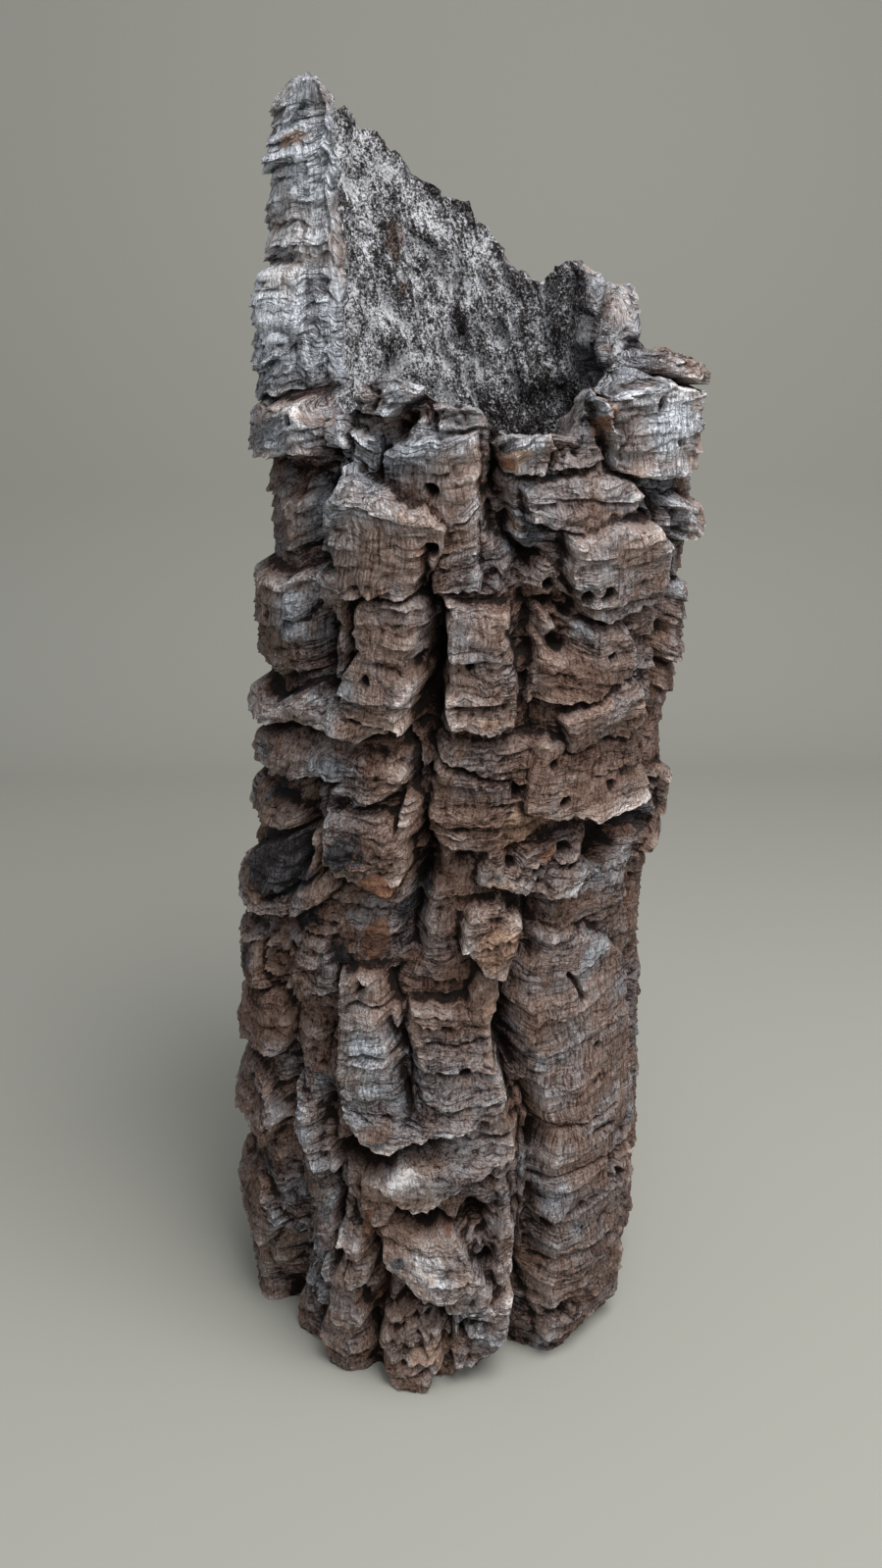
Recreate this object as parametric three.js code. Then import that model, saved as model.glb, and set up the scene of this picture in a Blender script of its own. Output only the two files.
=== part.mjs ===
// A hollow cork branch: the thick bark of a cork oak limb, standing on its sawn lower end as an open tube.
// Deep fissures part the bark into upright ridges, thick plates and ledges stand out of them, and the broken
// upper end runs from a tall spire at the left down to a low front wall and a knob at the back right.
// Lengths are millimetres. Angles are degrees round the tube: 0 is the front (-Y), and they grow rightwards.
import * as THREE from "three";

// Driving dimensions
const HEIGHT = 848; // the spire's tip above the sawn end
const BORE = 101; // mean radius of the hollow
const THINNEST_WALL = 9; // bark left at the bottom of the deepest fissure
const LEAN = 30; // how far the upper half stands to the right of the foot
const LEAN_FROM = 300; // height where the lean starts
const LEAN_TO = 500; // height where it ends
const FOOT_X = -8.0; // middle of the tube at the foot, which puts the bounding box over the origin
const FOOT_Y = 4.1;
const DROOP = 0.28; // how far a point sags for each millimetre that it stands out
const LOOSE_ROWS = 3; // rows above the foot over which the sag sets in
const TEAR = { size: 16, height: 3, seed: 6 }; // how the torn top of the wall rises and falls
const BARK_LUMPS = [{ size: 38, height: 4, seed: 1 }, { size: 17, height: 2.5, seed: 2 }];
const BORE_LUMPS = [{ size: 70, height: 3, seed: 3 }, { size: 30, height: 2, seed: 4 }];
const ARC_RADIUS = 147; // radius that turns degrees into millimetres of arc

// Mesh density: rows below the split are level all round, and rows above it close up towards the broken edge.
const SPLIT = 630;
const ROWS_BELOW = 50;
const ROWS_ABOVE = 15;
const BORE_ROWS_BELOW = 7;
const BORE_ROWS_ABOVE = 3;
const TOWARDS_FISSURES = 0.06; // how much closer the columns stand beside a fissure

// Radius of the bark's floor, from which the plates rise, looking at the tube from four sides.
const GIRTH = [
  { z: 0, front: 143, right: 146, back: 138, left: 141 },
  { z: 60, front: 143, right: 152, back: 142, left: 148 },
  { z: 120, front: 147, right: 155, back: 143, left: 146 },
  { z: 200, front: 145, right: 153, back: 139, left: 142 },
  { z: 300, front: 136, right: 149, back: 141, left: 134 },
  { z: 400, front: 137, right: 146, back: 137, left: 136 },
  { z: 450, front: 138, right: 133, back: 138, left: 144 },
  { z: 520, front: 137, right: 132, back: 142, left: 141 },
  { z: 600, front: 138, right: 141, back: 139, left: 134 },
  { z: 685, front: 136, right: 136, back: 136, left: 133 },
  { z: 695, front: 134, right: 108, back: 135, left: 131 },
  { z: 712, front: 132, right: 112, back: 133, left: 130 },
  { z: 735, front: 128, right: 111, back: 130, left: 130 },
  { z: 765, front: 121, right: 111, back: 122, left: 128 },
  { z: 800, front: 117, right: 111, back: 119, left: 124 },
  { z: 870, front: 114, right: 111, back: 116, left: 108 },
];

// Height of the broken upper edge all the way round: at the bark, and at the bore.
const RIM = [
  [-180, 790, 796], [-171, 797, 802], [-161, 806, 812], [-150, 820, 826], [-137, 834, 840], [-124, 843, 848],
  [-108, 842, 846], [-90, 832, 838], [-74, 825, 832], [-64, 831, 835], [-57, 838, 837], [-54.5, 833, 829],
  [-53, 814, 810], [-52, 740, 736], [-50, 700, 697], [-48, 680, 677], [-46, 660, 657], [-44.6, 655, 653],
  [-34, 652, 650], [-31, 662, 652], [-26, 674, 660], [-19, 676, 662], [-15, 672, 658], [-12, 665, 654],
  [-7, 661, 652], [-2, 659, 648], [2, 652, 642], [4, 648, 640], [8, 644, 638], [14, 647, 640], [20, 643, 638],
  [23.5, 645, 640], [25.5, 670, 642], [38, 672, 655], [48, 674, 682], [52, 686, 688], [66, 690, 690],
  [90, 692, 690], [102, 690, 690], [106, 700, 694], [110, 722, 698], [116, 733, 703], [122, 740, 712],
  [128, 744, 738], [131, 746, 748], [139, 755, 757], [147, 746, 749], [153, 743, 746], [163, 749, 752],
  [168, 764, 768], [172, 774, 779], [178, 782, 787], [180, 790, 796],
];

// The upright break at the left, as [height, degrees] up it, and how far the bark beside it is rounded off:
// over how many degrees, and by what share of its thickness.
const BREAK_LINE = [[660, -45], [680, -48], [700, -50], [740, -52], [814, -53], [833, -54.5]];
const BREAK_ROUND = 22;
const BREAK_THINNING = 0.72;
const BREAK_FADE = 15; // height over which the rounding sets in
const BREAK_REACH = 4; // degrees past the break that are still rounded off

// The knob at the right, where the wall curls into the hollow, as [degrees, height, half width in mm,
// half height in mm, how far].
const CURL = [[116, 708, 56, 60, 8]];

// Places where the sawn end doesn't reach the ground, as [degrees, half width in degrees, height].
const FOOT_NOTCHES = [
  [2, 9, 9], [-38, 6, 7], [74, 8, 6], [131, 9, 8], [-152, 10, 8], [-100, 7, 6],
];

// Fissures, from the left of the front and round to the right, each as [height, degrees, depth,
// half width in degrees].
const FISSURES = [
  { name: "left fissure", segments: 5, line: [
    [0, -55, 30, 11], [60, -50, 26, 8], [100, -43, 20, 7], [140, -46, 20, 7], [200, -45, 18, 7],
    [240, -47, 17, 7], [300, -49, 10, 6], [340, -49, 6, 6], [385, -45, 22, 5], [425, -45, 14, 5],
    [450, -43, 6, 5], [485, -41, 10, 5], [510, -44, 20, 6], [540, -41, 24, 7], [580, -49, 22, 6],
    [620, -46, 20, 6], [650, -41, 20, 5], [680, -42, 16, 6], [700, -46, 20, 8], [735, -50, 20, 9],
    [870, -53.5, 16, 9]] },
  { name: "foot fissure", segments: 4, line: [
    [0, -23, 14, 6], [40, -23, 18, 6], [90, -22, 20, 5], [125, -25, 16, 5], [155, -29, 18, 5],
    [190, -31, 12, 4], [240, -33, 8, 4], [300, -33, 0, 4], [600, -30, 0, 4], [625, -24, 3, 3],
    [650, -24, 7, 3], [870, -24, 0, 3]] },
  { name: "black fissure", segments: 5, line: [
    [0, -7, 0, 4], [215, -6, 2, 4], [240, -7, 14, 4], [262, -8, 14, 4], [290, -11, 15, 4],
    [330, -9, 15, 5], [380, -8, 17, 4], [405, -9, 20, 4], [440, -12, 9, 4], [474, -13, 18, 5],
    [500, -14, 30, 5], [525, -12, 30, 4], [548, -13, 22, 4], [562, -15, 14, 4], [585, -14, 3, 4],
    [640, -12, 0, 4], [870, -11, 0, 4]] },
  { name: "middle fissure", segments: 9, line: [
    [0, 23, 24, 9], [50, 23, 22, 7], [100, 25, 20, 5], [160, 27, 22, 5], [200, 26, 22, 5],
    [240, 21, 22, 5], [285, 19, 20, 5], [320, 22, 18, 5], [350, 24, 14, 5], [395, 20, 2, 5],
    [470, 13, 3, 4], [500, 11, 10, 4], [540, 10, 14, 4], [556, 9, 18, 5], [575, 11, 22, 5],
    [592, 5, 15, 4], [605, 2, 12, 4], [640, 2, 14, 4], [870, 1, 0, 4]] },
  { name: "right fissure", segments: 6, line: [
    [0, 68, 8, 6], [100, 66, 10, 6], [200, 68, 8, 6], [300, 66, 8, 6], [400, 64, 4, 6], [450, 62, 8, 6],
    [500, 61, 16, 6], [560, 60, 18, 6], [598, 52, 20, 6], [612, 43, 16, 5], [622, 34, 12, 4],
    [645, 31, 9, 4], [675, 29, 6, 4], [870, 29, 0, 4]] },
  { name: "right back fissure", segments: 4, line: [
    [0, 100, 22, 7], [120, 96, 18, 7], [230, 102, 24, 7], [330, 99, 12, 6], [430, 94, 20, 7],
    [560, 99, 25, 7], [680, 97, 14, 6], [735, 106, 8, 6], [870, 106, 4, 6]] },
  { name: "back right fissure", segments: 4, line: [
    [0, 126, 16, 6], [100, 131, 24, 6], [220, 127, 14, 6], [350, 133, 25, 6], [470, 128, 12, 6],
    [600, 126, 22, 6], [740, 129, 16, 5], [870, 128, 8, 5]] },
  { name: "back fissure", segments: 4, line: [
    [0, 156, 25, 7], [130, 151, 13, 6], [260, 158, 24, 6], [380, 154, 10, 6], [500, 158, 24, 7],
    [640, 153, 20, 6], [870, 156, 8, 6]] },
  { name: "middle back fissure", segments: 4, line: [
    [0, 184, 14, 6], [140, 180, 25, 7], [270, 185, 12, 6], [400, 181, 24, 6], [540, 186, 14, 6],
    [680, 182, 22, 6], [870, 183, 8, 6]] },
  { name: "back left fissure", segments: 4, line: [
    [0, 208, 24, 7], [110, 213, 12, 6], [240, 208, 22, 6], [370, 212, 15, 6], [520, 209, 25, 7],
    [660, 214, 12, 6], [870, 211, 9, 6]] },
  { name: "left back fissure", segments: 4, line: [
    [0, 240, 16, 6], [150, 236, 24, 7], [290, 243, 14, 6], [420, 238, 25, 7], [560, 241, 12, 6],
    [700, 238, 20, 6], [870, 240, 8, 6]] },
  { name: "left side fissure", segments: 7, line: [
    [0, 271, 24, 7], [90, 266, 14, 7], [230, 272, 22, 7], [350, 268, 10, 6], [480, 272, 20, 7],
    [600, 266, 15, 6], [720, 270, 12, 6], [870, 268, 6, 6]] },
];

// Plates and lumps of bark: an outline of [degrees, height] going round, how far it stands out at its top and
// at its bottom, and how softly its edge falls away.
const PLATES = [
  { name: "rim knob", top: 12, bottom: 13, edge: 5, outline: [
    [-31, 674], [-24, 680], [-15, 678], [-13, 665], [-19, 659], [-30, 661]] },
  { name: "rim crumbs", top: 9, bottom: 6, edge: 6, outline: [
    [-11, 660], [-1, 660], [0, 648], [-10, 648]] },
  { name: "upper block", top: 11, bottom: 6, edge: 5, outline: [
    [-23, 643], [-2, 646], [-1, 608], [-10, 600], [-23, 618]] },
  { name: "narrow pillar", top: 8, bottom: 8, edge: 5, outline: [
    [-31, 652], [-25, 650], [-25, 624], [-31, 632]] },
  { name: "tilted plate", top: 18, bottom: 13, edge: 5, outline: [
    [-31, 634], [-24, 626], [-13, 613], [-9, 604], [-11, 585], [-14, 560], [-33, 561], [-37, 585],
    [-38, 614]] },
  { name: "plate by the beetle hole", top: 8, bottom: 7, edge: 5, outline: [
    [-10, 604], [-2, 604], [-1, 562], [-13, 560]] },
  { name: "hanging plate", top: 12, bottom: 17, edge: 5, outline: [
    [-29, 559], [-12, 558], [-11, 540], [-13, 515], [-17, 498], [-18, 481], [-24, 481], [-34, 489],
    [-35, 506], [-31, 530]] },
  { name: "middle block", top: 8, bottom: 12, edge: 5, outline: [
    [-9, 556], [7, 549], [8, 520], [9, 486], [2, 481], [-7, 484], [-9, 497], [-8, 522]] },
  { name: "broken chunk", top: 16, bottom: 11, edge: 5, outline: [
    [1, 640], [7, 650], [14, 648], [17, 637], [14, 623], [5, 625]] },
  { name: "right rim ledge", top: 6, bottom: 12, edge: 5, outline: [
    [9, 619], [22, 622], [36, 619], [41, 609], [34, 601], [20, 598], [11, 601]] },
  { name: "right block", top: 18, bottom: 10, edge: 6, outline: [
    [19, 596], [28, 602], [38, 600], [46, 592], [51, 582], [52, 562], [46, 545], [36, 540], [24, 546],
    [20, 570]] },
  { name: "right middle", top: 9, bottom: 9, edge: 6, outline: [
    [12, 545], [38, 537], [42, 520], [41, 506], [28, 496], [11, 494]] },
  { name: "right low ledge", top: 15, bottom: 9, edge: 6, outline: [
    [19, 486], [28, 496], [37, 504], [44, 500], [47, 482], [42, 468], [22, 468]] },
  { name: "right low face", top: 6, bottom: 12, edge: 6, outline: [
    [14, 466], [46, 468], [52, 445], [54, 418], [38, 419], [28, 424], [14, 430]] },
  { name: "middle low face", top: 6, bottom: 5, edge: 8, outline: [
    [-11, 470], [22, 472], [24, 420], [8, 402], [-9, 412]] },
  { name: "spongy ledge", top: 6, bottom: 14, edge: 6, outline: [
    [8, 404], [34, 408], [37, 388], [34, 366], [22, 372], [5, 382]] },
  { name: "right shoulder", top: 17, bottom: 11, edge: 5, outline: [
    [26, 668], [45, 672], [67, 668], [72, 645], [66, 624], [47, 618], [32, 622], [29, 644]] },
  { name: "right slab", top: 10, bottom: 15, edge: 4, outline: [
    [47, 688], [66, 695], [100, 696], [102, 680], [74, 677], [50, 677]] },
  { name: "shoulder ledge", top: 10, bottom: 15, edge: 5, outline: [
    [50, 606], [72, 606], [76, 588], [60, 580], [50, 590]] },
  { name: "far right plate", top: 10, bottom: 9, edge: 6, outline: [
    [58, 556], [80, 553], [84, 526], [72, 502], [60, 508]] },
  { name: "far right tail", top: 4, bottom: 2, edge: 6, outline: [
    [62, 500], [80, 500], [78, 462], [66, 455]] },
  { name: "left shoulder", top: 12, bottom: 15, edge: 6, outline: [
    [-84, 668], [-50, 668], [-33, 662], [-31, 652], [-32, 640], [-46, 636], [-82, 637]] },
  { name: "left upper face", top: 5, bottom: 9, edge: 5, outline: [
    [-80, 716], [-42, 712], [-42, 673], [-82, 671]] },
  { name: "left bulge", top: 10, bottom: 12, edge: 7, outline: [
    [-96, 742], [-60, 738], [-56, 700], [-70, 684], [-98, 690]] },
  { name: "spire lump", top: 4, bottom: 5, edge: 6, outline: [
    [-78, 838], [-46, 846], [-42, 822], [-52, 800], [-80, 796]] },
  { name: "curled rim", top: 5, bottom: 6, edge: 6, outline: [
    [102, 706], [108, 730], [122, 752], [141, 762], [147, 744], [130, 722], [112, 704]] },
  { name: "left slab", top: 6, bottom: 5, edge: 5, outline: [
    [-56, 613], [-38, 611], [-38, 582], [-57, 582]] },
  { name: "left ledge", top: 15, bottom: 7, edge: 5, outline: [
    [-86, 566], [-55, 562], [-44, 572], [-33, 575], [-33, 540], [-37, 504], [-84, 506]] },
  { name: "swept ledge", top: 16, bottom: 14, edge: 5, outline: [
    [-76, 492], [-58, 488], [-45, 493], [-30, 485], [-19, 479], [-29, 470], [-52, 474], [-76, 470]] },
  { name: "grey shelf", top: 8, bottom: 13, edge: 5, outline: [
    [-72, 462], [-45, 464], [-20, 468], [-17, 446], [-34, 444], [-56, 440], [-72, 438]] },
  { name: "lipped tongue", top: 9, bottom: 12, edge: 4, outline: [
    [-34, 436], [-26, 430], [-19, 440], [-18, 452], [-30, 452]] },
  { name: "crumbling lump", top: 11, bottom: 15, edge: 5, outline: [
    [-37, 422], [-20, 425], [-13, 412], [-11, 392], [-16, 378], [-24, 381], [-34, 388]] },
  { name: "grey flake", top: 14, bottom: 14, edge: 4, outline: [
    [-17, 440], [-11, 433], [-10, 416], [-13, 408], [-17, 414]] },
  { name: "dark block", top: 9, bottom: 10, edge: 5, outline: [
    [-82, 424], [-48, 421], [-46, 404], [-68, 400], [-82, 400]] },
  { name: "black plate", top: 8, bottom: 13, edge: 5, outline: [
    [-76, 366], [-60, 387], [-46, 401], [-37, 402], [-34, 386], [-37, 372], [-47, 360], [-62, 349],
    [-74, 350]] },
  { name: "curled ledge", top: 13, bottom: 12, edge: 4, outline: [
    [-78, 356], [-56, 352], [-42, 366], [-32, 384], [-29, 374], [-40, 350], [-54, 338], [-78, 340]] },
  { name: "dark lumps", top: 7, bottom: 8, edge: 7, outline: [
    [-54, 334], [-30, 336], [-28, 300], [-44, 288], [-56, 296]] },
  { name: "left low lumps", top: 9, bottom: 13, edge: 7, outline: [
    [-80, 318], [-58, 316], [-55, 280], [-78, 276]] },
  { name: "left twisted plate", top: 8, bottom: 12, edge: 6, outline: [
    [-78, 264], [-52, 280], [-47, 256], [-52, 232], [-78, 226]] },
  { name: "left knee", top: 9, bottom: 14, edge: 7, outline: [
    [-84, 205], [-56, 212], [-48, 190], [-54, 162], [-84, 158]] },
  { name: "left heel", top: 10, bottom: 12, edge: 7, outline: [
    [-92, 112], [-60, 122], [-50, 96], [-58, 70], [-92, 66]] },
  { name: "left foot", top: 6, bottom: 12, edge: 7, outline: [[-92, 48], [-62, 52], [-63, -8], [-92, -8]] },
  { name: "light column", top: 13, bottom: 15, edge: 5, outline: [
    [-27, 316], [-19, 324], [-13, 322], [-10, 302], [-8, 280], [-6, 255], [-4, 232], [-10, 225],
    [-22, 226], [-25, 250], [-26, 285]] },
  { name: "middle column", top: 9, bottom: 12, edge: 6, outline: [
    [-5, 300], [13, 300], [16, 262], [17, 232], [14, 218], [-2, 216], [-4, 245], [-6, 275]] },
  { name: "centre flake", top: 21, bottom: 23, edge: 5, outline: [
    [6, 362], [13, 369], [19, 356], [21, 328], [16, 317], [9, 324], [4, 344]] },
  { name: "flake's tail", top: 17, bottom: 15, edge: 4, outline: [
    [9, 320], [16, 318], [16, 304], [14, 289], [11, 284], [8, 291], [7, 306]] },
  { name: "banded column", top: 9, bottom: 9, edge: 8, outline: [
    [21, 348], [34, 344], [44, 330], [58, 306], [62, 200], [60, 24], [30, 18], [24, 70], [23, 150],
    [23, 200], [19, 250], [20, 300]] },
  { name: "light lip", top: 12, bottom: 19, edge: 4, outline: [
    [-21, 207], [-8, 214], [8, 207], [9, 190], [0, 189], [-9, 183], [-19, 186]] },
  { name: "column's foot", top: 12, bottom: 15, edge: 6, outline: [
    [8, 216], [18, 222], [21, 200], [20, 172], [9, 170], [8, 192]] },
  { name: "second lip", top: 12, bottom: 20, edge: 4, outline: [
    [-19, 170], [-10, 177], [6, 178], [18, 168], [14, 156], [0, 150], [-9, 142], [-16, 150]] },
  { name: "low bulge", top: 12, bottom: 20, edge: 6, outline: [
    [-15, 118], [-5, 124], [8, 118], [10, 95], [8, 80], [0, 75], [-9, 83], [-15, 96]] },
  { name: "cheek", top: 12, bottom: 12, edge: 5, outline: [
    [11, 122], [18, 124], [20, 98], [15, 80], [10, 98]] },
  { name: "toe", top: 9, bottom: 6, edge: 6, outline: [
    [1, 62], [10, 58], [20, 62], [22, 42], [18, 24], [5, 26], [-2, 40]] },
  { name: "rim rubble", top: 6, bottom: 6, edge: 5, outline: [[16, 643], [26, 644], [29, 628], [17, 626]] },
  { name: "under the slab", top: 7, bottom: 6, edge: 5, outline: [
    [74, 672], [98, 674], [98, 652], [76, 650]] },
  { name: "front toe", top: 14, bottom: 15, edge: 5, outline: [
    [-19, 58], [-6, 64], [-3, 34], [-4, -8], [-17, -8], [-21, 30]] },
  { name: "second foot", top: 10, bottom: 8, edge: 6, outline: [
    [-38, 66], [-27, 58], [-25, 20], [-30, 2], [-40, 4]] },
  { name: "warty ridge", top: 9, bottom: 11, edge: 6, outline: [
    [-33, 122], [-25, 122], [-23, 92], [-27, 76], [-35, 88]] },
  { name: "grey tongue", top: 9, bottom: 13, edge: 5, outline: [
    [-43, 222], [-36, 212], [-30, 190], [-27, 166], [-33, 163], [-38, 182], [-44, 200]] },
];

// The same stock of plates serves the sides and the back, turned by so many degrees and raised. A mirrored
// plate is turned over first.
const BACK_PLATES = [
  { turn: 190, raise: 34, mirrored: false, names: [
    "left shoulder", "left ledge", "swept ledge", "black plate", "left knee", "left heel"] },
  { turn: 172, raise: -12, mirrored: true, names: [
    "upper block", "tilted plate", "hanging plate", "middle block", "light column", "light lip",
    "second lip", "toe"] },
  { turn: 108, raise: -24, mirrored: false, names: [
    "right block", "right middle", "right low face", "right low ledge"] },
  { turn: 250, raise: 8, mirrored: true, names: ["right shoulder", "right block", "low bulge"] },
  { turn: 232, raise: 66, mirrored: false, names: [
    "tilted plate", "hanging plate", "grey shelf", "light column", "second lip"] },
  { turn: 176, raise: 108, mirrored: false, names: [
    "left shoulder", "upper block", "middle block", "left ledge"] },
  { turn: 168, raise: -20, mirrored: true, names: [
    "left knee", "left heel", "left low lumps", "low bulge"] },
];

// Hollows and holes, as [degrees, height, half width in mm, half height in mm, depth].
const PITS = [
  [14, 4, 18, 30, 12], [-56, 622, 46, 13, 13], [-19, 652, 13, 8, 20], [46, 396, 42, 25, 30],
  [-24, 456, 18, 12, 14], [13, 574, 9, 11, 16], [18, 526, 12, 9, 16], [14, 402, 11, 10, 16],
  [16, 547, 9, 6, 12], [38, 364, 9, 4, 9], [-40, 433, 22, 5, 12], [-36, 404, 7, 26, 14],
  [2, 394, 12, 9, 12], [-20, 314, 5, 10, 12],
  [-1, 132, 12, 9, 14], [11, 108, 9, 9, 13], [23, 66, 9, 8, 15], [-5, 178, 26, 5, 12], [-60, 335, 14, 8, 12],
  [42, 604, 10, 6, 14], [-66, 236, 16, 9, 12], [104, 420, 20, 13, 18], [150, 250, 18, 14, 20],
  [-150, 560, 19, 13, 20], [-118, 330, 16, 12, 16], [168, 640, 16, 10, 16], [-170, 120, 18, 12, 16],
  [88, 230, 14, 10, 14],
];

// Growth ledges: each ridge is ringed by lips at uneven heights, worked out from one seed.
const LIP_SEED = 5;
const LIP_GAP = [17, 25]; // least gap between lips, and what chance adds
const LIP_OUT = [2.5, 5.5]; // least overhang, and what chance adds
const LIP_SLOPE = 16; // greatest difference in height from one side of the ridge to the other
const LIP_SAG = 12; // greatest difference between the middle of a lip and its ends
const LIP_FALL = 13; // height over which a lip dies away above its edge

const radians = (degrees) => (degrees * Math.PI) / 180;
const ARC = radians(ARC_RADIUS); // millimetres of arc in one degree
const clamp01 = (x) => Math.min(1, Math.max(0, x));
const smooth = (x) => clamp01(x) ** 2 * (3 - 2 * clamp01(x));
const wrap = (degrees) => ((((degrees + 180) % 360) + 360) % 360) - 180;

// A value from 0 to 1 that depends only on three whole numbers and a seed.
function chance(i, j, k, seed) {
  let h = Math.imul(i, 374761393) + Math.imul(j, 668265263);
  h += Math.imul(k, 1440662683) + Math.imul(seed, 1013904223);
  h = Math.imul(h ^ (h >>> 13), 1274126177);
  return ((h ^ (h >>> 16)) >>> 0) / 4294967295;
}

// Smooth noise from -1 to 1 at a point, whose lumps are one unit across.
function noise(x, y, z, seed) {
  const [i, j, k] = [Math.floor(x), Math.floor(y), Math.floor(z)];
  const [u, v, w] = [smooth(x - i), smooth(y - j), smooth(z - k)];
  let sum = 0;
  for (let c = 0; c < 8; c++) {
    const [a, b, d] = [c & 1, (c >> 1) & 1, c >> 2];
    const share = (a ? u : 1 - u) * (b ? v : 1 - v) * (d ? w : 1 - w);
    sum += share * chance(i + a, j + b, k + d, seed);
  }
  return 2 * sum - 1;
}

// Straight-line interpolation of column `at` in rows sorted by their first number.
function along(rows, x, at) {
  let n = 1;
  while (n < rows.length - 1 && rows[n][0] < x) n++;
  const share = clamp01((x - rows[n - 1][0]) / (rows[n][0] - rows[n - 1][0]));
  return rows[n - 1][at] + share * (rows[n][at] - rows[n - 1][at]);
}

// Noise on the tube's surface, from lumps of a given size, height and seed.
function lumpHeight(degrees, z, { size, height, seed }) {
  const turn = radians(degrees);
  const far = 40; // keeps all coordinates positive
  const [x, y] = [ARC_RADIUS * Math.sin(turn), ARC_RADIUS * Math.cos(turn)];
  return height * noise(x / size + far, y / size + far, z / size + far, seed);
}

function floorRadius(degrees, z) {
  const sides = { front: 0, right: 90, back: 180, left: -90 };
  let sum = 0;
  for (const [side, at] of Object.entries(sides)) {
    const rows = GIRTH.map((g) => [g.z, g[side]]);
    sum += Math.max(0, Math.cos(radians(degrees - at))) ** 2 * along(rows, z, 1);
  }
  return sum;
}

// Signed distance in mm of arc and height from a closed outline, positive inside.
function insideBy(outline, degrees, z) {
  const middle = outline.reduce((sum, p) => sum + p[0], 0) / outline.length;
  const x = (middle + wrap(degrees - middle)) * ARC;
  let nearest = Infinity;
  let inside = false;
  for (let n = 0; n < outline.length; n++) {
    const [ax, az] = [outline[n][0] * ARC, outline[n][1]];
    const next = outline[(n + 1) % outline.length];
    const [bx, bz] = [next[0] * ARC, next[1]];
    const share = clamp01(((x - ax) * (bx - ax) + (z - az) * (bz - az)) / ((bx - ax) ** 2 + (bz - az) ** 2));
    nearest = Math.min(nearest, Math.hypot(x - ax - share * (bx - ax), z - az - share * (bz - az)));
    if (az > z !== bz > z && x < ax + ((z - az) / (bz - az)) * (bx - ax)) inside = !inside;
  }
  return inside ? nearest : -nearest;
}

function allPlates() {
  const turned = BACK_PLATES.flatMap(({ names, turn, raise, mirrored }) =>
    names.map((name) => {
      const plate = PLATES.find((p) => p.name === name);
      const outline = plate.outline.map(([d, z]) => [turn + (mirrored ? -d : d), z + raise]);
      return { ...plate, outline };
    }),
  );
  return [...PLATES, ...turned].map((plate) => {
    const heights = plate.outline.map((p) => p[1]);
    return { ...plate, low: Math.min(...heights), high: Math.max(...heights) };
  });
}

const plates = allPlates();

// Later plates lie over earlier ones, so the highest counts.
function plateRise(degrees, z) {
  let rise = 0;
  for (const p of plates) {
    if (z < p.low - p.edge || z > p.high + p.edge) continue;
    const edge = smooth((insideBy(p.outline, degrees, z) + p.edge / 2) / p.edge);
    const height = p.bottom + (p.top - p.bottom) * clamp01((z - p.low) / (p.high - p.low));
    rise = Math.max(rise, edge * height);
  }
  return rise;
}

function fissureDepth(degrees, z) {
  let depth = 0;
  for (const f of FISSURES) {
    const away = Math.abs(wrap(degrees - along(f.line, z, 1)));
    const half = along(f.line, z, 3);
    depth = Math.max(depth, along(f.line, z, 2) * (1 - smooth(away / half)));
  }
  return depth;
}

// Soft oval spots, such as the hollows, as the deepest at each place.
function spotDepth(spots, degrees, z) {
  let depth = 0;
  for (const [at, height, halfWidth, halfHeight, deep] of spots) {
    const x = (wrap(degrees - at) * ARC) / halfWidth;
    depth = Math.max(depth, deep * (1 - smooth(Math.hypot(x, (z - height) / halfHeight))));
  }
  return depth;
}

// The lips of one ridge, from its foot up.
function lipsOf(ridge) {
  const share = (n, kind) => chance(ridge, n, kind, LIP_SEED);
  const lips = [];
  let z = 0;
  for (let n = 0; z < HEIGHT; n++) {
    z += LIP_GAP[0] + LIP_GAP[1] * share(n, 0);
    lips.push({
      z,
      out: LIP_OUT[0] + LIP_OUT[1] * share(n, 1),
      slope: LIP_SLOPE * (share(n, 2) - 0.5),
      sag: LIP_SAG * (share(n, 3) - 0.5),
    });
  }
  return lips;
}

const ridgeLips = FISSURES.map((_, ridge) => lipsOf(ridge));

// How far the lips of a ridge stand out at a place that is a given share of the way across it.
function lipRise(ridge, across, z) {
  let rise = 0;
  for (const lip of ridgeLips[ridge]) {
    const above = z - lip.z - lip.slope * (across - 0.5) - lip.sag * 4 * across * (1 - across);
    if (above > 0) rise += lip.out * Math.exp(-above / LIP_FALL);
  }
  return rise * Math.sqrt(Math.sin(Math.PI * clamp01(across)));
}

function barkRadius({ degrees, z, ridge, across }) {
  const raised = plateRise(degrees, z) + lipRise(ridge, across, z);
  const sunk = fissureDepth(degrees, z) + spotDepth(PITS, degrees, z);
  const lumps = BARK_LUMPS.reduce((sum, kind) => sum + lumpHeight(degrees, z, kind), 0);
  const thinnest = boreRadius(degrees, z) + THINNEST_WALL;
  const thickness = Math.max(0, floorRadius(degrees, z) + raised - sunk + lumps - thinnest);
  return thinnest + thickness * breakRounding(wrap(degrees), z);
}

// Share of its thickness that the bark keeps beside the upright break at the left.
function breakRounding(degrees, z) {
  const beside = along(BREAK_LINE, z, 1) - degrees;
  if (beside < -BREAK_REACH) return 1;
  const roundness = 1 - smooth(beside / BREAK_ROUND);
  return 1 - BREAK_THINNING * roundness * smooth((z - BREAK_LINE[0][0]) / BREAK_FADE);
}

function boreRadius(degrees, z) {
  const lumps = BORE_LUMPS.reduce((sum, kind) => sum + lumpHeight(degrees, z, kind), 0);
  return BORE + lumps - spotDepth(CURL, degrees, z);
}

const middleX = (z) => FOOT_X + LEAN * smooth((z - LEAN_FROM) / (LEAN_TO - LEAN_FROM));

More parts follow.
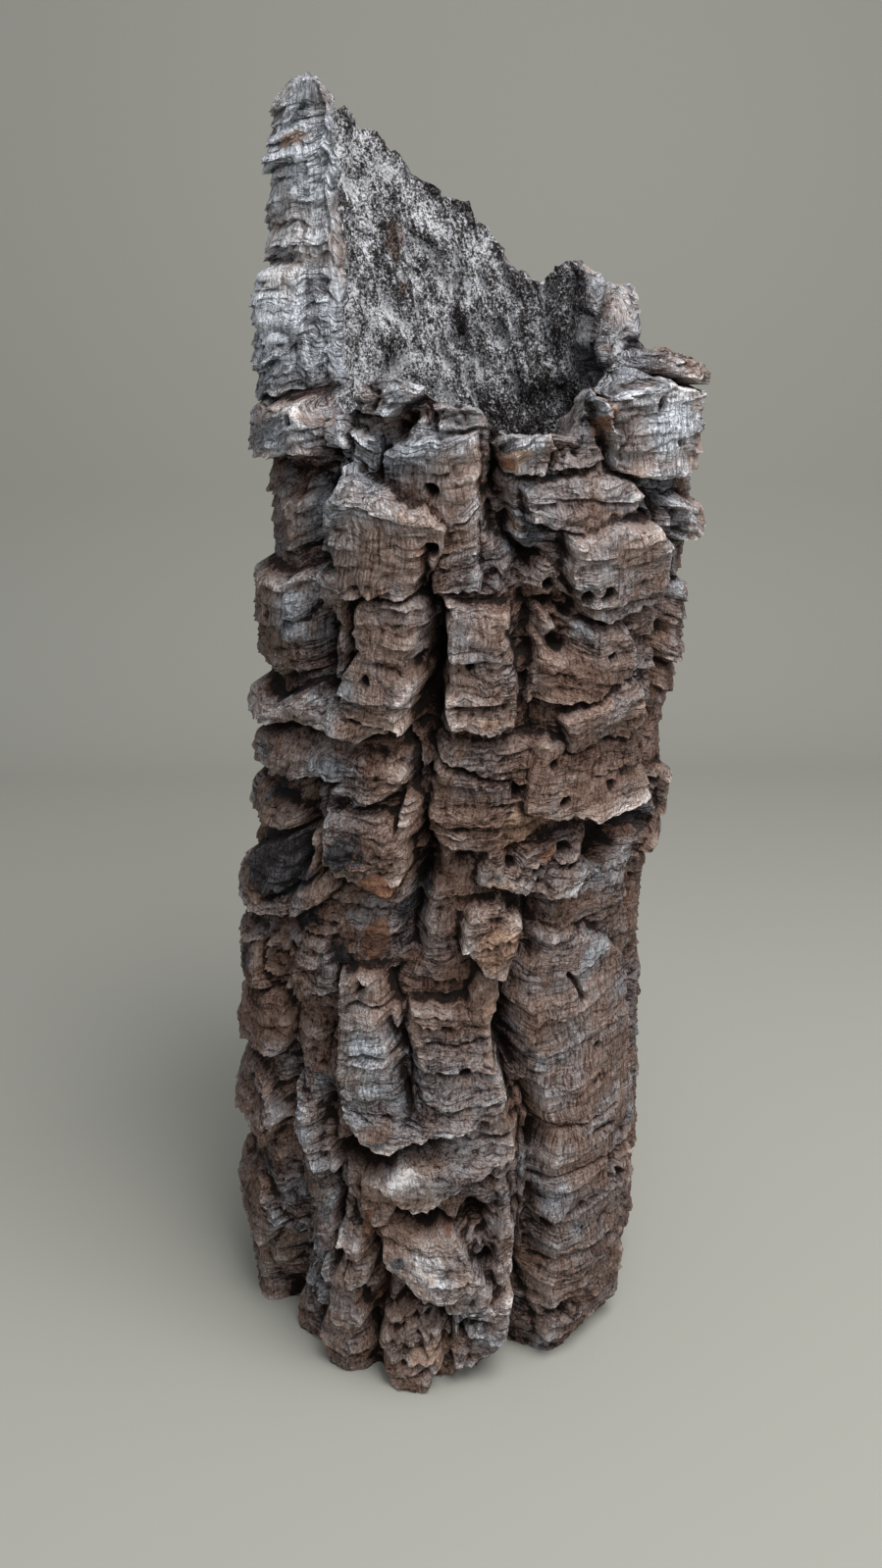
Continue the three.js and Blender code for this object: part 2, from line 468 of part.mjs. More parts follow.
function footHeight(degrees) {
  let height = 0;
  for (const [at, half, rise] of FOOT_NOTCHES) {
    height = Math.max(height, rise * (1 - smooth(Math.abs(wrap(degrees - at)) / half)));
  }
  return height;
}

// The angles of one row of vertices. They follow the fissures, so a fissure's floor is a line of the mesh.
function rowAngles(z) {
  const angles = [];
  FISSURES.forEach((fissure, ridge) => {
    const from = along(fissure.line, z, 1);
    const next = FISSURES[(ridge + 1) % FISSURES.length];
    const to = along(next.line, z, 1) + (ridge === FISSURES.length - 1 ? 360 : 0);
    for (let n = 0; n < fissure.segments; n++) {
      const even = n / fissure.segments;
      const across = even - TOWARDS_FISSURES * Math.sin(2 * Math.PI * even);
      angles.push({ degrees: from + across * (to - from), ridge, across });
    }
  });
  return angles;
}

// Height of the broken edge: at the bark (share 0), at the bore (share 1) or between them.
function rimHeight(degrees, share) {
  const turned = wrap(degrees);
  return (1 - share) * along(RIM, turned, 1) + share * along(RIM, turned, 2);
}

function pointAt(degrees, radius, z) {
  const turn = radians(degrees);
  return [middleX(z) + radius * Math.sin(turn), FOOT_Y - radius * Math.cos(turn), z];
}

// Rows of one wall from the foot to the broken edge, each as a list of places to put a vertex.
function wallRows(rowsBelow, rowsAbove, share) {
  const rims = rowAngles(HEIGHT).map(({ degrees }) => rimHeight(degrees, share));
  const rows = [];
  for (let row = 0; row <= rowsBelow + rowsAbove; row++) {
    const above = Math.max(0, (row - rowsBelow) / rowsAbove);
    const level = (SPLIT * Math.min(row, rowsBelow)) / rowsBelow;
    rows.push(
      rowAngles(level + above * (HEIGHT - SPLIT)).map((place, n) => ({
        ...place,
        z: row === 0 ? footHeight(place.degrees) : level + above * (rims[n] - SPLIT),
        looseness: above > 0 ? (rims[n] - SPLIT) / (HEIGHT - SPLIT) : Math.min(1, row / LOOSE_ROWS),
      })),
    );
  }
  return rows;
}

// A point of the bark sags, but less where the rows are close together.
function barkPoint(place) {
  const radius = barkRadius(place);
  const sag = DROOP * place.looseness * (radius - floorRadius(place.degrees, place.z));
  return pointAt(place.degrees, radius, place.z - sag);
}

const borePoint = ({ degrees, z }) => pointAt(degrees, boreRadius(degrees, z), z);

// The torn top of the wall, halfway between bark and bore.
function tornPoint(place, n) {
  const top = rowAngles(HEIGHT)[n].degrees;
  const radius = (barkRadius(place) + boreRadius(place.degrees, place.z)) / 2;
  return pointAt(place.degrees, radius, rimHeight(top, 0.5) + lumpHeight(place.degrees, place.z, TEAR));
}

// One closed surface: up the bark, over the torn edge, down the bore and back along the sawn end.
function tubeGeometry() {
  const bark = wallRows(ROWS_BELOW, ROWS_ABOVE, 0);
  const bore = wallRows(BORE_ROWS_BELOW, BORE_ROWS_ABOVE, 1).reverse();
  const loops = [
    ...bark.map((row) => row.map(barkPoint)),
    bark.at(-1).map(tornPoint),
    ...bore.map((row) => row.map(borePoint)),
  ];
  const count = loops[0].length;
  const index = [];
  loops.forEach((_, loop) => {
    const above = (loop + 1) % loops.length;
    for (let n = 0; n < count; n++) {
      const right = (n + 1) % count;
      const [a, b] = [loop * count + n, loop * count + right];
      const [c, d] = [above * count + right, above * count + n];
      index.push(a, b, c, a, c, d);
    }
  });
  const geometry = new THREE.BufferGeometry();
  geometry.setAttribute("position", new THREE.Float32BufferAttribute(loops.flat(2), 3));
  geometry.setIndex(index);
  geometry.computeVertexNormals();
  return geometry;
}

const cork = new THREE.MeshStandardMaterial({ color: 0x8f8172, roughness: 0.95, metalness: 0 });
const tube = new THREE.Mesh(tubeGeometry(), cork);
tube.name = "cork_tube";

const branch = new THREE.Group();
branch.add(tube);

export default branch;
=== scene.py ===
"""A hollow cork branch for its picture: the bark, its broken edge, its bore and their weathered finish."""

import math
import bmesh
import bpy
import numpy as np
from mathutils import Matrix, Vector


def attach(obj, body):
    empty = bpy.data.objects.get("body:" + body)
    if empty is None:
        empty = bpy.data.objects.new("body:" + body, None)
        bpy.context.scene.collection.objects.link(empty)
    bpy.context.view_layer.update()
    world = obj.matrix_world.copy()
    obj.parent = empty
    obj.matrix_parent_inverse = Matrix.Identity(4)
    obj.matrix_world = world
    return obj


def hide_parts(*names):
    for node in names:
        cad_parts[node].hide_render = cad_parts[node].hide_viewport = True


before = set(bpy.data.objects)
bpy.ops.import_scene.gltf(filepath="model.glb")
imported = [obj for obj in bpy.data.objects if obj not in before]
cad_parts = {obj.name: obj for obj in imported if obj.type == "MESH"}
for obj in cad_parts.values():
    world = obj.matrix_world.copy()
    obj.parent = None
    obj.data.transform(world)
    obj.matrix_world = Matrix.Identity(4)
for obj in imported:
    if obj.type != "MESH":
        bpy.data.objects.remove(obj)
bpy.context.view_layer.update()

bl_info = {
    "name": "Cork Branch",
    "version": (1, 0, 0),
    "blender": (4, 5, 0),
    "location": "View3D > Sidebar > Cork",
    "description": "Builds a hollow cork branch with fissured, layered bark, and the studio round it",
    "category": "Add Mesh",
}

# Lengths in the tables below are millimetres. Angles are degrees round the tube, 0 at the front (-Y) and
# positive to the right (+X). A place is given as (degrees, height).
MM = 0.001
NODE = "cork_tube"

# Driving dimensions, the same as the solid's
HEIGHT = 848
BORE = 101
THINNEST_WALL = 7
LEAN = 30
LEAN_FROM = 300
LEAN_TO = 500
FOOT_X = -8.0
FOOT_Y = 4.1
ARC_RADIUS = 147
ARC = ARC_RADIUS * math.pi / 180

# How plates, bands and cracks wander: how far, and the size of the bends
WANDER = [(6.5, 44), (3.4, 17), (1.6, 7), (0.8, 3.4)]
RAGGED = [(2.6, 15), (1.5, 5), (0.8, 2.2)]  # how the broken edge goes up and down, in the same way
BAND_WANDER = 0.4  # how far the bands follow the wandering, against 1 for the plates
PLATE_TILT = 9  # greatest tilt of a plate's bands, as a difference in height from its middle to its side
PLATE_BOW = 7
CHUNKS_EVERYWHERE = 0.12  # how far sound bark is broken up, against 1 for crumbling bark
CLEFT_WIDTH = 3  # half width of the black cleft in a fissure

# Bark that stands out sags. A hollow rises in the same way, as if it were no deeper than this.
DEEPEST_HOLLOW = 12
DEEPEST_LIP_HOLLOW = 6
FIRM_FOOT = 30  # the height at which the sag is whole, from none at the ground

# The upright break at the left, as places up it, and how many degrees of bark are rounded off beside it
BREAK_LINE = [(-45, 660), (-48, 680), (-50, 700), (-52, 740), (-53, 814), (-54.5, 833)]
BREAK_ROUND = 22

# The knob at the right of the broken edge, where the wall curls inwards: degrees, height, half width, half
# height, and how far it stands into the bore
CURL = (116, 708, 56, 60, 8)

# Painted shade in a dark line round the bore under the broken edge: strength and depth
RIM_SHADE = 0.75
RIM_SHADE_DEPTH = 16

# Mesh density before the faces are thinned out
SPLIT = 630
ROWS_BELOW = 450
ROWS_ABOVE = 150
TORN_ROWS = 16
BORE_ROWS_ABOVE = 80
BORE_ROWS_BELOW = 30
FOOT_ROWS = 6
FRONT = 95  # columns are closest together within this many degrees of the front
FRONT_STEP = 0.46
BACK_STEP = 0.9
LEAST_STEP = 0.02  # columns aren't brought closer together than about this many degrees
STEEP_STEP = 2.5  # greatest rise of the broken edge from one column to the next
FRONT_SHARE = 0.70  # part of the finished triangles that the seen side gets
SEEN_BORE_ABOVE = 560  # the part of the bore that is seen: over this height and outside these degrees
SEEN_BORE_BESIDE = 40
MERGE_DISTANCE = 1e-6  # metres
CREASE = 58  # edges sharper than this many degrees are shaded sharp

# How far round a place its height is averaged to tell crests from hollows, in rows and columns of the mesh
HEIGHT_MARKS = {"near_height": 3, "middle_height": 9, "far_height": 26}
BORE_REACH = 4  # the same for the bore
TORN_HEIGHT_SHARE = 0.4  # how strong these marks of the bark are on the torn edge, against 1 on the bark

# Radius of the bark's floor, from which the plates rise: height, then front, right, back and left
GIRTH = [
    (0, 143, 146, 138, 141),
    (60, 143, 152, 142, 148),
    (120, 147, 155, 143, 146),
    (200, 145, 153, 139, 142),
    (300, 136, 149, 141, 134),
    (400, 137, 146, 137, 136),
    (450, 138, 133, 138, 144),
    (520, 137, 132, 142, 141),
    (600, 138, 141, 139, 134),
    (685, 136, 136, 136, 133),
    (695, 134, 108, 135, 131),
    (712, 132, 112, 133, 130),
    (735, 128, 111, 130, 130),
    (765, 121, 111, 122, 128),
    (800, 117, 111, 119, 124),
    (870, 114, 111, 116, 108),
]

# Height of the broken upper edge: degrees, height at the bark, height at the bore
RIM = [
    (-180, 790, 796), (-171, 797, 802), (-161, 806, 812), (-150, 820, 826), (-137, 834, 840),
    (-124, 843, 848), (-108, 843, 847), (-90, 838, 844), (-74, 841, 844), (-66, 840, 842), (-58, 836, 835),
    (-54.5, 829, 825), (-53, 812, 808), (-52, 740, 736), (-50, 700, 697), (-48, 680, 677), (-46, 660, 657),
    (-44.6, 655, 653), (-34, 652, 650), (-31, 662, 652), (-26, 674, 660), (-19, 676, 662), (-15, 672, 658),
    (-12, 665, 654), (-7, 661, 652), (-2, 659, 648), (2, 652, 642), (4, 648, 640), (8, 644, 638),
    (14, 647, 640), (20, 643, 638), (23.5, 645, 640), (25.5, 670, 642), (38, 672, 655), (48, 674, 682),
    (52, 686, 688), (66, 690, 690), (90, 692, 690), (102, 690, 690), (106, 700, 694), (110, 722, 698),
    (116, 733, 703), (122, 740, 712), (128, 744, 738), (131, 746, 748), (139, 755, 757), (147, 746, 749),
    (153, 743, 746), (163, 749, 752), (168, 764, 768), (172, 774, 779), (178, 782, 787), (180, 790, 796),
]

# Places where the sawn end doesn't reach the ground: degrees, half width in degrees, height
FOOT_NOTCHES = [(2, 9, 9), (-38, 6, 7), (74, 8, 6), (131, 9, 8), (-152, 10, 8), (-100, 7, 6)]

# Fissures round the tube from the left of the front: height, degrees, depth, half width in degrees
FISSURES = [
    [(0, -57, 27, 8), (60, -50, 24, 7), (100, -43, 20, 7), (140, -46, 20, 7), (200, -45, 18, 7),
     (240, -47, 17, 7), (300, -49, 10, 6), (340, -49, 6, 6), (385, -45, 22, 5), (420, -45, 12, 5),
     (440, -43, 1, 4), (472, -42, 1, 4), (488, -41, 9, 5), (510, -44, 20, 6), (540, -41, 24, 7),
     (580, -49, 22, 6), (620, -46, 20, 6), (650, -41, 20, 5), (680, -42, 16, 6), (700, -46, 20, 8),
     (735, -50, 20, 9), (870, -53.5, 16, 9)],
    [(0, -20, 10, 4), (40, -19, 13, 4), (70, -17, 18, 4), (95, -15.5, 18, 4), (112, -17, 12, 3),
     (128, -22, 6, 3), (150, -28, 16, 5), (190, -31, 12, 4), (240, -33, 8, 4), (300, -33, 0, 4),
     (600, -30, 0, 4), (625, -24, 3, 3), (650, -24, 7, 3), (870, -24, 0, 3)],
    [(0, -7, 0, 4), (215, -6, 2, 4), (240, -7, 14, 3), (262, -8, 14, 3), (290, -11, 15, 3),
     (330, -9, 15, 5), (380, -8, 17, 4), (405, -9, 20, 4), (440, -12, 9, 4), (474, -13, 18, 5),
     (500, -14, 30, 5), (525, -12, 30, 4), (548, -13, 22, 4), (562, -15, 14, 4), (585, -14, 3, 4),
     (640, -12, 0, 4), (870, -11, 0, 4)],
    [(0, 23, 24, 9), (50, 23, 22, 7), (100, 25, 20, 5), (160, 27, 22, 5), (200, 26, 22, 5),
     (240, 21, 22, 5), (285, 19, 20, 5), (320, 22, 18, 5), (350, 24, 14, 5), (395, 20, 2, 5),
     (470, 13, 3, 4), (500, 11, 10, 4), (540, 10, 14, 4), (556, 9, 18, 5), (575, 11, 22, 5),
     (592, 5, 15, 4), (605, 2, 12, 4), (640, 2, 14, 4), (870, 1, 0, 4)],
    [(0, 68, 8, 6), (100, 66, 10, 6), (200, 68, 8, 6), (300, 66, 8, 6), (400, 64, 4, 6), (450, 62, 8, 6),
     (500, 61, 16, 6), (560, 60, 18, 6), (598, 52, 20, 6), (612, 43, 16, 5), (622, 34, 12, 4),
     (645, 31, 9, 4), (675, 29, 6, 4), (870, 29, 0, 4)],
    [(0, 100, 22, 7), (120, 96, 18, 7), (230, 102, 24, 7), (330, 99, 12, 6), (430, 94, 20, 7),
     (560, 99, 25, 7), (680, 97, 14, 6), (735, 106, 8, 6), (870, 106, 4, 6)],
    [(0, 126, 16, 6), (100, 131, 24, 6), (220, 127, 14, 6), (350, 133, 25, 6), (470, 128, 12, 6),
     (600, 126, 22, 6), (740, 129, 16, 5), (870, 128, 8, 5)],
    [(0, 156, 25, 7), (130, 151, 13, 6), (260, 158, 24, 6), (380, 154, 10, 6), (500, 158, 24, 7),
     (640, 153, 20, 6), (870, 156, 8, 6)],
    [(0, 184, 14, 6), (140, 180, 25, 7), (270, 185, 12, 6), (400, 181, 24, 6), (540, 186, 14, 6),
     (680, 182, 22, 6), (870, 183, 8, 6)],
    [(0, 208, 24, 7), (110, 213, 12, 6), (240, 208, 22, 6), (370, 212, 15, 6), (520, 209, 25, 7),
     (660, 214, 12, 6), (870, 211, 9, 6)],
    [(0, 240, 16, 6), (150, 236, 24, 7), (290, 243, 14, 6), (420, 238, 25, 7), (560, 241, 12, 6),
     (700, 238, 20, 6), (870, 240, 8, 6)],
    [(0, 271, 24, 7), (90, 266, 14, 7), (230, 272, 22, 7), (350, 268, 10, 6), (480, 272, 20, 7),
     (600, 266, 15, 6), (720, 270, 12, 6), (870, 268, 6, 6)],
]

# Plates and lumps of bark: how far one stands out at its top and at its bottom, the softness of its edge, and
# its outline of places
PLATES = {
    "rim knob": (12, 13, 5, [(-31, 674), (-24, 680), (-15, 678), (-13, 665), (-19, 659), (-30, 661)]),
    "rim crumbs": (9, 6, 6, [(-11, 660), (-1, 660), (0, 648), (-10, 648)]),
    "upper block": (11, 6, 5, [(-23, 643), (-2, 646), (-1, 608), (-10, 600), (-23, 618)]),
    "narrow pillar": (8, 8, 5, [(-31, 652), (-25, 650), (-25, 624), (-31, 632)]),
    "tilted plate": (18, 13, 5, [(-31, 634), (-24, 626), (-13, 613), (-9, 604), (-11, 585), (-14, 560),
        (-33, 561), (-37, 585), (-38, 614)]),
    "plate by the beetle hole": (8, 7, 5, [(-10, 604), (-2, 604), (-1, 562), (-13, 560)]),
    "hanging plate": (12, 17, 5, [(-29, 559), (-12, 558), (-11, 540), (-13, 515), (-17, 498), (-18, 481),
        (-24, 481), (-34, 489), (-35, 506), (-31, 530)]),
    "middle block": (8, 12, 5, [(-9, 556), (7, 549), (8, 520), (9, 486), (2, 481), (-7, 484), (-9, 497),
        (-8, 522)]),
    "broken chunk": (16, 11, 5, [(1, 640), (7, 650), (14, 648), (17, 637), (14, 623), (5, 625)]),
    "right rim ledge": (6, 12, 5, [(9, 619), (22, 622), (36, 619), (41, 609), (34, 601), (20, 598),
        (11, 601)]),
    "rim rubble": (6, 6, 5, [(16, 643), (26, 644), (29, 628), (17, 626)]),
    "right block": (18, 10, 6, [(19, 596), (28, 602), (38, 600), (46, 592), (51, 582), (52, 562), (46, 545),
        (36, 540), (24, 546), (20, 570)]),
    "right middle": (9, 9, 6, [(12, 545), (38, 537), (42, 520), (41, 506), (28, 496), (11, 494)]),
    "right low ledge": (15, 9, 6, [(19, 486), (28, 496), (37, 504), (44, 500), (47, 482), (42, 468),
        (22, 468)]),
    "right low face": (6, 17, 5, [(14, 466), (46, 468), (52, 445), (54, 418), (38, 419), (28, 424),
        (14, 430)]),
    "hollow's rim": (9, 7, 5, [(69, 428), (80, 426), (82, 372), (70, 366), (73, 396)]),
    "middle low face": (6, 5, 8, [(-11, 470), (22, 472), (24, 420), (8, 402), (-9, 412)]),
    "spongy ledge": (6, 14, 6, [(8, 404), (34, 408), (37, 388), (34, 366), (22, 372), (5, 382)]),
    "right shoulder": (17, 11, 5, [(26, 668), (45, 672), (67, 668), (72, 645), (66, 624), (47, 618),
        (32, 622), (29, 644)]),
    "right slab": (10, 15, 4, [(47, 688), (66, 695), (100, 696), (102, 680), (74, 677), (50, 677)]),
    "under the slab": (7, 6, 5, [(74, 672), (98, 674), (98, 652), (76, 650)]),
    "shoulder ledge": (10, 15, 5, [(50, 606), (72, 606), (76, 588), (60, 580), (50, 590)]),
    "far right plate": (10, 9, 6, [(58, 556), (80, 553), (84, 526), (72, 502), (60, 508)]),
    "far right tail": (4, 2, 6, [(62, 500), (80, 500), (78, 462), (66, 455)]),
    "left shoulder": (12, 15, 6, [(-84, 668), (-50, 668), (-33, 662), (-31, 652), (-32, 640), (-46, 636),
        (-82, 637)]),
    "left upper face": (5, 9, 5, [(-80, 716), (-42, 712), (-42, 673), (-82, 671)]),
    "left bulge": (10, 12, 7, [(-96, 742), (-60, 738), (-56, 700), (-70, 684), (-98, 690)]),
    "spire lump": (4, 5, 6, [(-78, 838), (-46, 846), (-42, 822), (-52, 800), (-80, 796)]),
    "curled rim": (5, 6, 6, [(102, 706), (108, 730), (122, 752), (141, 762), (147, 744), (130, 722),
        (112, 704)]),
    "left slab": (6, 5, 5, [(-56, 613), (-38, 611), (-38, 582), (-57, 582)]),
    "left ledge": (15, 7, 5, [(-86, 566), (-55, 562), (-44, 572), (-33, 575), (-33, 540), (-37, 504),
        (-84, 506)]),
    "swept ledge": (16, 14, 5, [(-76, 492), (-58, 488), (-45, 493), (-30, 485), (-19, 479), (-29, 470),
        (-52, 474), (-76, 470)]),
    "grey shelf": (8, 13, 5, [(-72, 462), (-45, 464), (-20, 468), (-17, 446), (-34, 444), (-56, 440),
        (-72, 438)]),
    "lipped tongue": (9, 12, 4, [(-34, 436), (-26, 430), (-19, 440), (-18, 452), (-30, 452)]),
    "crumbling lump": (11, 15, 5, [(-37, 422), (-20, 425), (-13, 412), (-11, 392), (-16, 378), (-24, 381),
        (-34, 388)]),
    "grey flake": (10, 13, 3, [(-17, 440), (-12, 433), (-10.5, 418), (-13, 408), (-16, 416)]),
    "dark block": (9, 10, 5, [(-82, 424), (-48, 421), (-46, 404), (-68, 400), (-82, 400)]),
    "black plate": (8, 13, 5, [(-76, 366), (-60, 387), (-46, 401), (-37, 402), (-34, 386), (-37, 372),
        (-47, 360), (-62, 349), (-74, 350)]),
    "curled ledge": (13, 12, 4, [(-78, 356), (-56, 352), (-42, 366), (-32, 384), (-29, 374), (-40, 350),
        (-54, 338), (-78, 340)]),
    "dark lumps": (7, 8, 7, [(-54, 334), (-30, 336), (-28, 300), (-44, 288), (-56, 296)]),
    "left low lumps": (9, 13, 7, [(-80, 318), (-58, 316), (-55, 280), (-78, 276)]),
    "left twisted plate": (8, 12, 6, [(-78, 264), (-52, 280), (-47, 256), (-52, 232), (-78, 226)]),
    "left knee": (9, 14, 7, [(-84, 205), (-56, 212), (-48, 190), (-54, 162), (-84, 158)]),
    "left heel": (10, 12, 7, [(-92, 112), (-60, 122), (-50, 96), (-58, 70), (-92, 66)]),
    "left foot": (6, 12, 7, [(-92, 48), (-62, 52), (-63, -8), (-92, -8)]),
    "light column": (13, 15, 5, [(-27, 316), (-19, 324), (-13, 322), (-10, 302), (-8, 280), (-6, 255),
        (-4, 232), (-10, 225), (-22, 226), (-25, 250), (-26, 285)]),
    "middle column": (9, 12, 6, [(-6, 300), (13, 300), (16, 262), (17, 232), (14, 218), (-3, 216),
        (-5.5, 245), (-7.5, 275)]),
    "centre flake": (14, 19, 6, [(6, 362), (13, 369), (19, 356), (21, 328), (16, 317), (9, 324), (4, 344)]),
    "flake's tail": (12, 12, 5, [(9, 320), (16, 318), (16, 304), (14, 289), (11, 284), (8, 291), (7, 306)]),
    "banded column": (9, 9, 8, [(21, 348), (34, 344), (44, 330), (58, 306), (62, 200), (60, 24), (30, 18),
        (24, 70), (23, 150), (23, 200), (19, 250), (20, 300)]),
    "trunk": (6, 4, 11, [(-24, 222), (-8, 232), (17, 238), (19, 206), (18, 168), (17, 90), (14, 72),
        (-1, 68), (-14, 82), (-17, 120), (-23, 130), (-25, 178)]),
    "light lip": (14, 21, 4, [(-25, 228), (-10, 232), (6, 232), (11, 225), (6, 220), (1, 215), (-4, 210),
        (-9, 205), (-14, 200), (-19, 205), (-24, 217)]),
    "second lip": (9, 17, 4, [(-16, 173), (-11, 180), (-4, 187), (5, 193), (11, 203), (18, 205), (19, 194),
        (15.5, 188), (12, 180), (7.5, 170), (2, 165), (-3.5, 158), (-6, 155), (-11, 163)]),
    "left face": (11, 13, 5, [(-21, 170), (-15, 174), (-10.5, 160), (-11, 142), (-17.5, 139), (-21, 150)]),
    "low bulge": (9, 21, 3, [(-15, 136), (-11, 143), (-2, 132), (1, 142), (6, 135), (7.5, 118), (10, 101),
        (5, 96), (0, 90), (-4, 91), (-8, 101), (-11, 105), (-14, 112)]),
    "rubble": (15, 13, 4, [(1.5, 91), (12.5, 90), (12, 76), (7, 70), (2.5, 68)]),
    "cheek": (7, 13, 6, [(13.5, 179), (17.5, 183), (18.5, 150), (18.5, 100), (16.5, 86), (13, 88),
        (12.8, 104), (14.2, 128), (15.2, 150)]),
    "front toe": (12, 17, 5, [(-16, 60), (-8, 70), (0, 64), (3, 46), (1, 22), (-4, -8), (-13, -8),
        (-17, 20)]),
    "toe": (13, 9, 6, [(4, 62), (6, 70), (11, 72), (19, 76), (21, 52), (19, 26), (11, 12), (4, 16),
        (3.5, 45)]),
    "second foot": (11, 10, 6, [(-33, 92), (-25.5, 98), (-23.5, 66), (-19.5, 22), (-21, -8), (-31, -8),
        (-35, 40)]),
    "warty ridge": (11, 13, 5, [(-27, 121), (-18, 131), (-17.5, 98), (-20, 88), (-24.5, 84)]),
    "grey tongue": (9, 13, 5, [(-43, 222), (-36, 212), (-30, 190), (-27, 166), (-33, 163), (-38, 182),
        (-44, 200)]),
}

# The same stock of plates serves the sides and the back: names, degrees to add, height to add, mirrored
BACK_PLATES = [
    (["left shoulder", "left ledge", "swept ledge", "black plate", "left knee",
      "left heel"], 190, 34, False),
    (["upper block", "tilted plate", "hanging plate", "middle block", "light column", "light lip",
      "second lip", "toe"], 172, -12, True),
    (["right block", "right middle", "right low face", "right low ledge"], 108, -24, False),
    (["right shoulder", "right block", "low bulge"], 250, 8, True),
    (["tilted plate", "hanging plate", "grey shelf", "light column", "second lip"], 232, 66, False),
    (["left shoulder", "upper block", "middle block", "left ledge"], 176, 108, False),
    (["left knee", "left heel", "left low lumps", "low bulge"], 168, -20, True),
]

# Hollows: degrees, height, half width, half height, depth
PITS = [
    (14, 4, 18, 30, 12), (-56, 622, 46, 13, 13), (-19, 652, 13, 8, 20), (49, 395, 50, 29, 80),
    (14, 392, 8, 9, 15), (27, 399, 8, 7, 14), (32, 385, 6, 6, 12), (-27, 462, 36, 8, 8),
    (-41, 432, 18, 6, 13), (13, 574, 9, 11, 16), (18, 526, 12, 9, 16), (14, 402, 11, 10, 16),
    (16, 547, 9, 6, 12), (38, 364, 9, 4, 9), (-40, 433, 22, 5, 12), (-36, 404, 7, 26, 14),
    (2, 394, 12, 9, 12), (-20, 314, 5, 10, 12), (-4, 144, 16, 9, 13), (9.5, 142, 12, 19, 26),
    (10.5, 110, 8, 8, 20), (-6, 74, 17, 13, 13), (8, 4, 15, 14, 15), (23, 66, 9, 8, 15), (2, 79, 4, 8, 10),
    (7, 83, 3, 7, 9), (-9, 26, 5, 5, 9), (0, 36, 5, 6, 10), (-4, 52, 6, 4, 8), (-23, 190, 13, 12, 12),
    (34, 46, 20, 10, 13), (52, 150, 10, 13, 10), (46, 186, 12, 6, 8), (-60, 335, 14, 8, 12),
    (42, 604, 10, 6, 14), (-66, 236, 16, 9, 12), (104, 420, 20, 13, 18), (150, 250, 18, 14, 20),
    (-150, 560, 19, 13, 20), (-118, 330, 16, 12, 16), (168, 640, 16, 10, 16), (-170, 120, 18, 12, 16),
    (88, 230, 14, 10, 14),
]

# Round holes that insects left: degrees, height, radius
INSECT_HOLES = [
    (-11, 589, 4), (16, 562, 4), (24, 559, 3.5), (28.5, 558, 3), (-11, 618, 3.5), (-27, 512, 3),
    (23, 435, 3.5), (19, 457, 2.5), (-11, 450, 3.5), (43, 661, 4.5), (7, 255, 4), (19.5, 287, 4),
    (11, 441, 3.5), (-48, 655, 3), (12, 104, 4), (33, 520, 3), (52, 640, 3), (-70, 700, 3), (30, 560, 4),
    (-62, 540, 3), (36, 440, 3), (-3, 520, 2.5), (45, 250, 3), (30, 120, 3), (-12, 620, 2.5), (120, 300, 4),
    (160, 480, 4), (200, 350, 4), (230, 620, 4), (250, 200, 4), (140, 600, 4), (185, 90, 4),
]

# Cracks: depth, half width, then places along it
CRACKS = [
    (7, 1.6, [(-14, 592), (-13, 575), (-15, 560)]),
    (5, 1.2, [(-30, 566), (-26, 560), (-20, 563)]),
    (9, 2.2, [(-20, 478), (-17, 462), (-15, 440)]),
    (6, 1.5, [(-15, 462), (-1, 457), (13, 445)]),
    (6, 1.6, [(-58, 352), (-48, 362), (-36, 380)]),
    (9, 2.6, [(-39, 428), (-37, 405), (-38, 384)]),
    (6, 1.6, [(35, 312), (38, 300), (40, 288)]),
    (26, 6, [(-26, 178), (-18, 181), (-11.5, 189)]),
    (24, 5, [(-11.5, 189), (-4, 197), (2, 203), (6, 208), (9, 216)]),
    (14, 2, [(9, 69), (6.5, 59), (5.5, 47), (8, 43)]),
    (12, 2.2, [(-11, 145), (-2, 134), (1, 144), (6, 138)]),
    (15, 3, [(-29, 150), (-28, 125), (-28.5, 100), (-30, 92)]),
    (5, 1.3, [(-22, 300), (-14, 302), (-8, 298)]),
    (5, 1.2, [(-24, 268), (-15, 266), (-7, 270)]),
    (4, 1.2, [(-4, 284), (5, 282), (14, 285)]),
    (4, 1.2, [(-3, 273), (6, 271), (14, 274)]),
    (7, 2, [(1, 604), (2, 592), (6, 585)]),
    (11, 2.2, [(44, 675), (58, 674), (76, 673)]),
    (5, 1.4, [(47, 618), (44, 600), (47, 585)]),
    (5, 1.4, [(-56, 636), (-44, 632), (-34, 634)]),
    (6, 1.6, [(-46, 582), (-44, 560), (-47, 540)]),
    (5, 1.3, [(26, 200), (36, 196), (50, 199)]),
    (5, 1.4, [(27, 160), (38, 163), (56, 158)]),
    (5, 1.4, [(27, 128), (40, 131), (58, 127)]),
    (6, 1.6, [(27, 88), (38, 92), (56, 84)]),
]

# Growth bands: height of one band, how far its lip stands out, how far the lip wanders, and its seed
BANDS = [(27, 5.0, 9, 21), (11, 3.0, 4, 22), (5.5, 1.9, 2, 23)]

# Cracked pieces of the crumbling bark: width, height, how far they stand out or in, and their seed
CHUNKS = [(27, 15, 3.4, 31), (12.5, 7.5, 2.0, 32), (6.2, 4.2, 1.1, 33)]

# Where the bark is sound, with even bands: degrees, height, half width, half height, strength
SOUND = [
    (-70, 745, 110, 130, 1), (-55, 560, 70, 90, 0.5), (48, 645, 50, 36, 0.7), (40, 230, 60, 170, 0.8),
    (-18, 270, 30, 60, 0.7), (5, 250, 26, 50, 0.7), (0, 190, 50, 26, 0.6), (-24, 590, 34, 40, 0.8),
]

